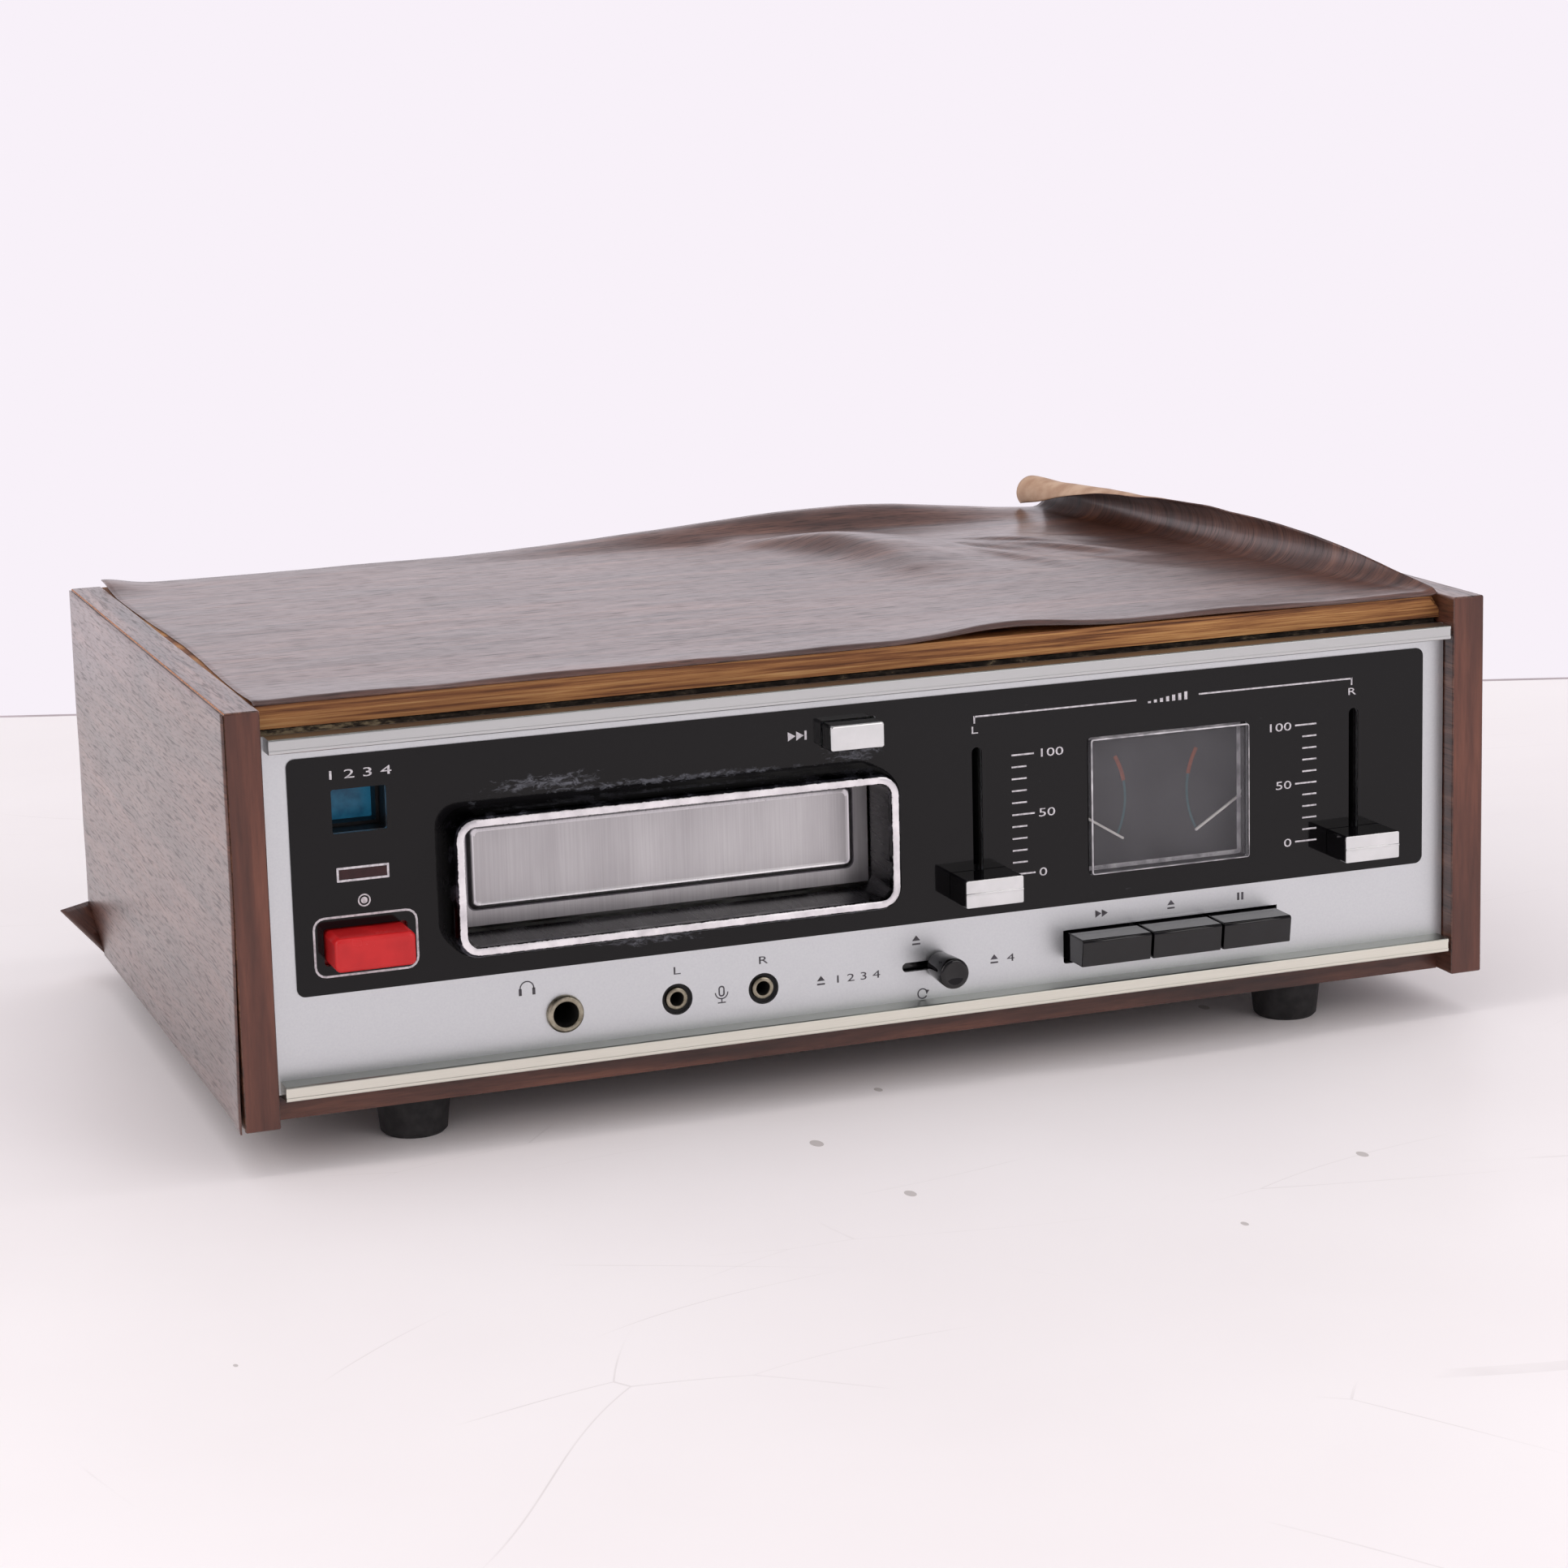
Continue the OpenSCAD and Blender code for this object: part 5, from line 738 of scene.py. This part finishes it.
# the tunnel narrows by a ledge 4 mm behind the panel
tube(bm, wx, WINDOW_UP, [(17.2, 14.4, 0.3, 7.2), (17.2, 14.4, 0.3, 20.2), (14.4, 11.6, 0.2, 20.2), (14.4, 11.6, 0.2, 17.8),
                         (12.6, 9.8, 0.3, 17.8), (12.6, 9.8, 0.3, 13.2), (14.2, 11.4, 0.3, 13.2), (14.2, 11.4, 0.3, 7.2),
                         (17.2, 14.4, 0.3, 7.2)], [0] * 8, 2)
bmesh.ops.remove_doubles(bm, verts=bm.verts, dist=1e-3)
place("window_tunnel", bm, "cabinet", "matte_black", (matt_black,), ("program_window",), sharp=30)

# glass bulbs and their board are seen only as pale shapes behind the lenses
lamp_glass = mottled("small_lamps_and_board", 200, 3, (0.35, "#B9A982"), (0.65, "#D9CFB0"), Roughness=0.3, Coat_Weight=0.6)
dress("pilot_lamps", lamp_glass)
dress("front_subpanel", matt_black)
dress("slide_pots", matt_black)


# ---- Record and selector buttons ----
# The record button is a solid cap of glossy red plastic; the selector is a small chromed cap. Each
# has a flange behind the panel and a stem that pushes its switch.
RED_W, RED_H, RED_OUT = 20.6, 8.6, 10.3
SELECTOR_X, SELECTOR_UP, SEL_W, SEL_H, SEL_OUT = -10.4, 84.725, 14.9, 6.8, 6.8
# ABS moulded glossy and dulled by fingers: clean red with soft highlights
red_plastic = mottled("glossy_red_abs", 130, 5, (0.3, "#B71C1F"), (0.6, "#C82224"), rough=(0.16, 0.34), Specular_IOR_Level=0.4)

# chromed plastic in mirror finish with faint haze and fingermarks
chrome = metal("hazed_chrome_plating", "#E2E3E4", "#D4D6D6", 0.13, 5)


def push_button(name, node, body, slot, x, up, w, h, out, faces, corner, edge):
    """a cap that stands out of the panel, its flange behind the panel and its stem"""
    bm = bmesh.new()
    plate(bm, x, up, w, h, corner, FASCIA_Y - out, 11.2, edge)
    block(bm, (x - w / 2 - 1.6, 7.4, up - h / 2 - 1.6), (x + w / 2 + 1.6, 9.0, up + h / 2 + 1.6), 0.3)
    block(bm, (x - 2.5, 8.2, up - 2.5), (x + 2.5, 33.0, up + 2.5), 0.3)
    place(name, bm, body, slot, faces, (node,), sharp=40)


push_button("record_cap", "record_button", "record_key", "red_button", RECORD_X, RECORD_UP, RED_W, RED_H, RED_OUT, (red_plastic,), 1.5, 1.0)
push_button("selector_cap", "selector_button", "selector_key", "chrome_face", SELECTOR_X, SELECTOR_UP, SEL_W, SEL_H, SEL_OUT, (chrome,), 0.7, 0.45)
# pressed phenolic board: dull brown, mottled
switch_body = mottled("phenolic_switch_body", 350, 4, (0.35, "#4B3A2C"), (0.65, "#6E5843"), Roughness=0.5)
dress("push_switches", switch_body)


# ---- Volume knobs ----
# Two sliding knobs of gloss black plastic with a chromed face that carries a raised line across its
# middle. A steel tongue through the slot holds each on its slide control.
KNOB_W, KNOB_H, KNOB_OUT, VOLUME_UP = 16.4, 7.4, 11.2, 40.6
for side, x in (("left", 25.6), ("right", 137.4)):
    bm = bmesh.new()
    front = FASCIA_Y - KNOB_OUT
    plate(bm, x, VOLUME_UP, KNOB_W, KNOB_H, 0.5, front + 0.75, 4.4, 0.25, 3)
    for face in bm.faces:
        face.material_index = 0
    # the chromed face: a thin plate whose middle rises to a ridge
    plate(bm, x, VOLUME_UP, KNOB_W - 0.1, KNOB_H - 0.1, 0.4, front + 0.28, front + 0.75, 0.12, 3)
    block(bm, (x - KNOB_W / 2 + 0.05, front + 0.06, VOLUME_UP - 0.3), (x + KNOB_W / 2 - 0.05, front + 0.4, VOLUME_UP + 0.3), 0.16)
    for face in bm.faces:
        if face.calc_center_median().y < front + 0.74:
            face.material_index = 1
    place(f"volume_cap_{side}", bm, f"{side}_volume", "gloss_black", (polished_abs, chrome), (f"volume_knob_{side}",), sharp=40)


# ---- Level meter ----
# A clear acrylic box stands 1.8 mm proud of the panel over a dark grey dial with two needles. Its
# rubbed edges are milky and painted pale as a highlight. The dial bears two faint arcs in red and blue-green.
METER_X, METER_UP, METER_W, METER_H = 81.5, 57.9, 47.0, 37.0
# acrylic, moulded clear: it is thin, so it is drawn as a pale see-through veil with a little haze
acrylic = mottled("clear_acrylic", 90, 5, (0.3, "#6E6D71"), (0.7, "#86858A"), rough=(0.04, 0.16),
                  IOR=1.49, Alpha=0.16, Specular_IOR_Level=0.6)
# where it is rubbed it turns milky; its pale tone is also a painted highlight of the light its edges catch
rubbed_edge_highlight = mottled("rubbed_acrylic_edge_highlight", 260, 4, (0.35, "#8B898E"), (0.65, "#E8E6E9"), Roughness=0.3, IOR=1.49)

bm = bmesh.new()
front, back = FASCIA_Y - 1.8, FASCIA_Y + 3.6
hollow = [(METER_W, METER_H, 0.8, back), (METER_W, METER_H, 0.8, front + 0.35), (METER_W - 0.2, METER_H - 0.2, 0.7, front + 0.1),
          (METER_W - 0.7, METER_H - 0.7, 0.5, front)]
tube(bm, METER_X, METER_UP, hollow, [0, 1, 1], 4)
outline(bm, METER_X, METER_UP, METER_W - 0.7, METER_H - 0.7, 0.5, front, 4)
tube(bm, METER_X, METER_UP, [(METER_W, METER_H, 0.8, back), (METER_W - 2.4, METER_H - 2.4, 0.3, back),
                             (METER_W - 2.4, METER_H - 2.4, 0.3, front + 1.2)], [1, 0], 4)
outline(bm, METER_X, METER_UP, METER_W - 2.4, METER_H - 2.4, 0.3, front + 1.2, 4)
bmesh.ops.remove_doubles(bm, verts=bm.verts, dist=1e-3)
place("meter_box", bm, "cabinet", "clear_window", (acrylic, rubbed_edge_highlight), ("meter_window",), sharp=40)

# card printed dark grey, dusty: flat and without shine
dial_card = mottled("printed_grey_dial", 180, 5, (0.3, "#353438"), (0.7, "#3B3A3E"), Roughness=0.55)
dress("meter_scale", dial_card)
dress("meter_case", matt_black)
# enamel sprayed on thin aluminium: plain white, faintly chalky
needle_paint = mottled("white_needle_enamel", 400, 2, (0.3, "#E2DFDA"), (0.7, "#F3F1EC"), Roughness=0.4)
dress("needle_left", needle_paint)
dress("needle_right", needle_paint)


# ink stands 0.04 mm proud of what it is printed on
INK_T = 0.04


def straight(bm, x0, z0, x1, z1, y):
    """a thin printed bar between two corners"""
    block(bm, (min(x0, x1), y - INK_T, min(z0, z1)), (max(x0, x1), y, max(z0, z1)))


def wedge(bm, x, z, w, h, turn, y):
    """a printed triangle that points right, or is turned anticlockwise by some degrees"""
    made = bmesh.ops.create_circle(bm, cap_ends=True, segments=3, radius=1.0)["verts"]
    bmesh.ops.rotate(bm, verts=made, cent=(0, 0, 0), matrix=Matrix.Rotation(math.radians(-90), 3, "Z"))
    bmesh.ops.scale(bm, verts=made, vec=(w / 1.5, h / 1.7320508, 1))
    bmesh.ops.transform(bm, verts=made, matrix=Matrix.Translation((x, y, z)) @ Matrix.Rotation(math.radians(-turn), 4, "Y")
                        @ Matrix.Rotation(math.pi / 2, 4, "X"))
    raise_print(bm, made[0].link_faces[0])


def raise_print(bm, face):
    """gives a flat printed shape the thickness of the ink"""
    made = bmesh.ops.extrude_face_region(bm, geom=[face])["geom"]
    bmesh.ops.translate(bm, verts=[g for g in made if isinstance(g, bmesh.types.BMVert)], vec=(0, -INK_T, 0))


def box_line(bm, x, z, w, h, r, line, y):
    """a printed line round a rounded box"""
    tube(bm, x, z, [(w, h, r, y), (w, h, r, y - INK_T), (w - 2 * line, h - 2 * line, max(r - line, 0.05), y - INK_T)], [0, 0], 4)


def ring_line(bm, x, z, radius, line, start, end, y):
    """a printed stroke along part of a circle, its ends at two angles"""
    steps = max(int(abs(end - start) / 6), 6)
    here = math.radians(start)
    verts = [bm.verts.new((x + r * math.cos(here), y - INK_T, z + r * math.sin(here)))
             for r in (radius - line / 2, radius + line / 2)]
    edge = bm.edges.new(verts)
    bmesh.ops.spin(bm, geom=[edge, *verts], cent=(x, y - INK_T, z), axis=(0, -1, 0), angle=math.radians(end - start), steps=steps)


def digits(bm, text, x, z, height, y, align="CENTER", stretch=1.6):
    """plain figures or a single letter from the built-in typeface, widened and as thin as ink"""
    curve = bpy.data.curves.new("figures", "FONT")
    curve.body, curve.size, curve.extrude, curve.align_x = text, height / 0.72, INK_T / 2, align
    curve.resolution_u = 3
    holder = bpy.data.objects.new("figures", curve)
    mesh = bpy.data.meshes.new_from_object(holder)
    mesh.transform(Matrix.Translation((x, y - INK_T / 2, z - height / 2)) @ Matrix.Rotation(math.pi / 2, 4, "X")
                   @ Matrix.Diagonal((stretch, 1, 1, 1)))
    bm.from_mesh(mesh)
    bpy.data.meshes.remove(mesh)
    bpy.data.objects.remove(holder)
    bpy.data.curves.remove(curve)


def eject_mark(bm, x, z, size, y):
    """the standard symbol: a triangle over a bar"""
    wedge(bm, x, z + 0.2 * size, 0.62 * size, size, 90, y)
    straight(bm, x - size / 2, z - 0.5 * size, x + size / 2, z - 0.3 * size, y)


# two arcs bulge towards each other on the dial, red at the top and blue-green below
red_ink = mottled("faded_red_dial_ink", 500, 3, (0.35, "#9C5238"), (0.65, "#86493A"), Roughness=0.6)
teal_ink = mottled("faded_green_dial_ink", 500, 3, (0.35, "#45696C"), (0.65, "#3D5E61"), Roughness=0.6)
DIAL_Y = FASCIA_Y + 7.6
for name, faded, line, start, end in (("dial_arcs_red", red_ink, 1.1, 29.4, 11), ("dial_arcs_teal", teal_ink, 0.7, 11, -27.7)):
    bm = bmesh.new()
    ring_line(bm, METER_X - 32.2, METER_UP - 0.1, 23, line, start, end, DIAL_Y)
    ring_line(bm, METER_X + 32.2, METER_UP - 0.1, 23, line, 180 - end, 180 - start, DIAL_Y)
    place(name, bm, "cabinet", "scale_grey", (faded,))


# ---- Sockets and eject lever ----
# A nickel-plated 1/4 inch socket stands in the fascia on its rim, and two small nickel sockets sit in
# clearance holes. The lever is a turned black knob on a stem that slides in a slot.
MONITOR_X, MIC_X, JACK_UP = -89.7, (-59.3, -35.6), 19.2
LEVER_X, LEVER_UP, LEVER_OUT = 13.5, 20.0, 11.8
# nickel plate, long handled: warm grey with brownish tarnish
dull_nickel = metal("dull_nickel_plating", "#B5AE9C", "#7F7867", 0.3, 2.2)
# the sockets' insides are dusty and painted near-black: painted shade deep in the bores
bore_shade_finish = mottled("socket_bore_painted_shade", 600, 3, (0.35, "#0B0A0A"), (0.65, "#1E1C19"), Roughness=0.6)


def turned(bm, x, z, profile, steps=48):
    """a round piece on a front-to-back axis: profile lists radius and depth"""
    verts = [bm.verts.new((x + r, y, z)) for r, y in profile]
    edges = [bm.edges.new(pair) for pair in zip(verts, verts[1:])]
    bmesh.ops.spin(bm, geom=verts + edges, cent=(x, 0, z), axis=(0, 1, 0), angle=2 * math.pi, steps=steps, use_merge=True)
    bmesh.ops.remove_doubles(bm, verts=bm.verts, dist=1e-4)


def paint_bore_shade(bm, x, z, radius, y):
    """paints the inside of a bore near-black, as painted shade"""
    for face in bm.faces:
        middle = face.calc_center_median()
        if math.hypot(middle.x - x, middle.z - z) < radius and middle.y > y:
            face.material_index = 1


bm = bmesh.new()
turned(bm, MONITOR_X, JACK_UP, [(3.25, 24), (3.25, 4.1), (3.45, 3.75), (3.9, 3.6), (4.4, 3.62), (4.75, 3.85), (4.9, 4.3), (4.95, 5.0),
                                (4.6, 5.0), (4.6, 9.4), (7.4, 9.4), (7.4, 24.0), (0, 24.0)])
paint_bore_shade(bm, MONITOR_X, JACK_UP, 3.3, 5)
for sx in (-1, 1):
    block(bm, (MONITOR_X + sx * 4 - 1, 23.9, JACK_UP + 2), (MONITOR_X + sx * 4 + 1, 35.3, JACK_UP + 2.8), 0.15, 1)
bmesh.ops.recalc_face_normals(bm, faces=bm.faces)
place("monitor_socket_shell", bm, "cabinet", "nickel", (dull_nickel, bore_shade_finish), ("monitor_jack",), sharp=40)
bm = bmesh.new()
for x in MIC_X:
    turned(bm, x, JACK_UP, [(1.75, 19), (1.75, 5.55), (1.95, 5.3), (2.5, 5.22), (2.85, 5.4), (2.95, 5.8), (2.95, 8.6), (5.0, 8.6),
                            (5.0, 21.2), (0, 21.2), (0, 19.0), (1.75, 19.0)], 36)
    paint_bore_shade(bm, x, JACK_UP, 1.8, 6.2)
    for sx in (-1, 1):
        block(bm, (x + sx * 2.6 - 0.8, 20.9, JACK_UP + 1), (x + sx * 2.6 + 0.8, 26.8, JACK_UP + 1.6), 0.12, 1)
place("mic_socket_shells", bm, "cabinet", "nickel", (dull_nickel, bore_shade_finish), ("mic_jacks",), sharp=40)

bm = bmesh.new()
tip = FASCIA_Y - LEVER_OUT
# the knob has a dished end and narrows to its root; behind it come its pin, its sliding plate and its stem
turned(bm, LEVER_X, LEVER_UP, [(0, tip + 0.55), (1.6, tip + 0.42), (2.6, tip + 0.12), (3.1, tip), (3.6, tip + 0.08),
                               (3.95, tip + 0.4), (4.1, tip + 0.95), (3.95, -1.5), (3.6, 3.5), (3.3, 3.8), (0, 3.8)])
turned(bm, LEVER_X, LEVER_UP, [(0, 3.6), (1.1, 3.6), (1.1, 8.6), (0, 8.6)], 20)
plate(bm, LEVER_X, LEVER_UP, 19.2, 9.0, 1.5, 7.4, 8.6, 0.2, 3)
block(bm, (LEVER_X - 2, 8.2, LEVER_UP - 2), (LEVER_X + 2, 12.2, LEVER_UP + 2), 0.2)
place("eject_lever_knob", bm, "eject_lever", "gloss_black", (polished_abs,), ("auto_eject_lever",), sharp=40)


# ---- Piano keys ----
# Three glossy black keys stand in a row in front of the fascia. Their fronts lean back a millimetre
# towards the lower edge, and their upper front edges are rounded. Each is sprung from behind.
KEY_X, KEY_UP, KEY_W, KEY_H, KEY_PITCH, KEY_OUT = 82.0, 20.5, 20.2, 7.5, 20.9, 10.5
for step, (name, node, body) in enumerate((("key_forward", "fast_forward_key", "forward_key"), ("key_eject", "eject_key", "release_key"),
                                           ("key_pause", "pause_key", "hold_key"))):
    x = KEY_X + (step - 1) * KEY_PITCH
    bm = bmesh.new()
    front = FASCIA_Y - KEY_OUT
    block(bm, (x - KEY_W / 2, front, KEY_UP - KEY_H / 2), (x + KEY_W / 2, 10.2, KEY_UP + KEY_H / 2))
    for vert in bm.verts:
        if vert.co.y < 0 and vert.co.z < KEY_UP:
            vert.co.y += 1.0
    top_edge = [e for e in bm.edges if all(v.co.y < 0 and v.co.z > KEY_UP for v in e.verts)]
    bmesh.ops.bevel(bm, geom=top_edge, offset=1.0, segments=5, profile=0.5, affect="EDGES", material=-1)
    sides = [e for e in bm.edges if abs(e.calc_face_angle(0)) > 0.7 and min(v.co.y for v in e.verts) < 9]
    bmesh.ops.bevel(bm, geom=sides, offset=0.32, segments=2, profile=0.5, affect="EDGES", material=-1)
    block(bm, (x - KEY_W / 2 + 0.5, 7.4, KEY_UP - KEY_H / 2), (x + KEY_W / 2 - 0.5, 8.8, KEY_UP + KEY_H / 2 + 3.6), 0.2)
    block(bm, (x - 2, 8.2, KEY_UP - 2), (x + 2, 39.4, KEY_UP + 2), 0.2)
    place(name, bm, body, "gloss_black", (polished_abs,), (node,), sharp=40)


# the fascia's edge is turned in over the keys
bm = bmesh.new()
block(bm, (KEY_X - 32, FASCIA_Y, KEY_UP + KEY_H / 2 + 0.45), (KEY_X + 32, FASCIA_Y + 1.0, KEY_UP + KEY_H / 2 + 1.2), 0.1, 2)
place("fascia_turned_edge", bm, "cabinet", "satin_aluminium", (silver_lacquer,))


# ---- Printed marks ----
# White ink on the overlay and dark ink on the fascia: the volume scales with their figures, lines
# round the lamp and the record button, and plain symbols where the real one has words.

# screen-printed enamel: matt beside the gloss round it, and a little thin in places
white_ink = mottled("white_screen_ink", 900, 3, (0.3, "#A9A6AB"), (0.6, "#D9D6DA"), Roughness=0.5)
dark_ink = mottled("dark_screen_ink", 900, 3, (0.3, "#55525A"), (0.6, "#3A373B"), Roughness=0.5)
SCALE_UP, SCALE_STEP, LINE_T = 41.8, 3.23, 0.44
BRACKET_UP, BRACKET_X, MARK_UP = 85.28, (24.8, 137.0), 54.8
bm = bmesh.new()
y = OVERLAY_Y
for x_start, way, figures, align in ((35.5, 1, 43.0, "LEFT"), (126.0, -1, 118.5, "RIGHT")):
    for step in range(11):
        long = 6.5 if step % 5 == 0 else 4.3
        z = SCALE_UP + SCALE_STEP * step
        straight(bm, x_start, z - LINE_T / 2, x_start + way * long, z + LINE_T / 2, y)
        if step % 5 == 0:
            digits(bm, str(step * 10), figures, z, 2.3, y, align)
# a bracket joins the two controls, with L and R under its ends
for letter, end, inner, way in (("L", BRACKET_X[0], 72.0, 1), ("R", BRACKET_X[1], 90.5, -1)):
    start = end + way * 0.2
    straight(bm, start, BRACKET_UP, inner, BRACKET_UP + LINE_T, y)
    straight(bm, end, 83.7, end + way * LINE_T, BRACKET_UP + LINE_T, y)
    digits(bm, letter, start, 82.0, 2.0, y)
# a growing row of bars stands for the volume
for step in range(7):
    straight(bm, 75.4 + 1.8 * step, 84.4, 76.3 + 1.8 * step, 84.9 + 0.28 * step, y)
digits(bm, "1 2 3 4", RECORD_X, 87.3, 2.3, y, stretch=1.9)
# a disc in a ring stands for recording
ring_line(bm, RECORD_X, MARK_UP, 1.45, 0.35, 0, 360, y)
made = bmesh.ops.create_circle(bm, cap_ends=True, segments=20, radius=0.85,
                               matrix=Matrix.Translation((RECORD_X, y, MARK_UP)) @ Matrix.Rotation(math.pi / 2, 4, "X"))
raise_print(bm, made["verts"][0].link_faces[0])
for step in range(2):
    wedge(bm, -26.5 + 2.3 * step, 85.2, 2.1, 2.4, 0, y)
straight(bm, -22.6, 84.0, -22.0, 86.4, y)
box_line(bm, RECORD_X, LAMP_UP - 0.1, 13.4, 3.7, 0.2, 0.55, y)
box_line(bm, RECORD_X, RECORD_UP, 26.9, 15.5, 3.0, 0.55, y)
place("white_printing", bm, "cabinet", "needle_white", (white_ink,), sharp=30)

bm = bmesh.new()
y = FASCIA_Y
digits(bm, "L", MIC_X[0], 26.9, 2.1, y)
digits(bm, "R", MIC_X[1], 26.9, 2.1, y)
# headphones: a band with two ear pads
ring_line(bm, -99.5, 27.0, 1.8, 0.32, -10, 190, y)
for sx in (-1, 1):
    straight(bm, -99.5 + sx * 1.8 - 0.4, 25.2, -99.5 + sx * 1.8 + 0.4, 27.0, y)
# microphone: a capsule on a stand
box_line(bm, -47.2, 19.9, 1.7, 2.9, 0.8, 0.4, y)
ring_line(bm, -47.2, 19.6, 1.7, 0.3, 180, 360, y)
straight(bm, -47.35, 16.9, -47.05, 18.0, y)
straight(bm, -48.3, 16.7, -46.1, 17.0, y)
# the lever's three ways: eject at the end of each track, at the end of the fourth, and go round again
eject_mark(bm, 7.5, 27.0, 2.3, y)
eject_mark(bm, -19.6, 19.3, 2.2, y)
digits(bm, "1 2 3 4", -9.4, 19.3, 2.1, y, stretch=1.6)
eject_mark(bm, 29.8, 19.3, 2.2, y)
digits(bm, "4", 34.6, 19.3, 2.1, y)
ring_line(bm, 9.0, 12.4, 1.3, 0.34, 40, 330, y)
wedge(bm, 10.3, 12.9, 1.2, 1.2, -100, y)
for step in range(2):
    wedge(bm, KEY_X - KEY_PITCH - 1.0 + 1.9 * step, 28.3, 1.8, 2.1, 0, y)
eject_mark(bm, KEY_X, 28.3, 2.2, y)
for sx in (-0.62, 0.62):
    straight(bm, KEY_X + KEY_PITCH + sx - 0.32, 27.3, KEY_X + KEY_PITCH + sx + 0.32, 29.4, y)
place("dark_printing", bm, "cabinet", "gloss_black", (dark_ink,), sharp=30)


# ---- Tape drive, electronics and back ----
# Turned flywheel, steel motor and brass bearings, a ground rubber belt, a cream nylon cam, and the
# laminated transformer and circuit board behind. The back is painted sheet with slots for air.
# stove enamel on steel sheet: charcoal with a fine orange-peel
dark_sheet = mottled("dark_painted_sheet", 420, 3, (0.3, "#262423"), (0.7, "#34312F"), pressed=(0.25, 0.0001),
                     Roughness=0.5, Specular_IOR_Level=0.4)
dress("back_panel", dark_sheet)
dress("transformer", dark_sheet)
alloy = metal("turned_cast_alloy", "#C9CACB", "#A7A8AB", 0.3, 1.5)
dress("flywheel", alloy)
dress("motor", zinc_plate)
brass = metal("turned_brass", "#C9A961", "#8E7038", 0.3, 4)
for node in ("capstan_bearing", "motor_pulley", "head_carriage", "solenoid"):
    dress(node, brass)
dress("tape_head", metal("polished_head_steel", "#D5D3D1", "#B3B0AE", 0.16, 3))
dress("phono_sockets", dull_nickel)
dress("drive_belt", black_rubber)
dress("cord_grommet", black_rubber)
# moulded nylon: cream, waxy, a little translucent
nylon = mottled("cream_nylon", 200, 2, (0.3, "#D9CDB0"), (0.7, "#E8DFC8"), Roughness=0.42, Subsurface_Weight=0.1, Subsurface_Scale=0.002)
dress("track_cam", nylon)
# phenolic board with etched tracks under green lacquer
board, tree, surface = finish("phenolic_circuit_board", Roughness=0.45)
spot = add(tree, "TexCoord").outputs["Object"]
tracks = add(tree, "TexVoronoi", {"Vector": spot, "Scale": 120.0}, feature="DISTANCE_TO_EDGE")
etched = add(tree, "ValToRGB", {"Fac": tracks}, stops=((0.08, "#6E5B33"), (0.14, "#4A5630")))
tree.links.new(etched.outputs[0], surface.inputs["Base Color"])
dress("amp_board", board)


# ---- Last update of the scene ----
bpy.context.view_layer.update()
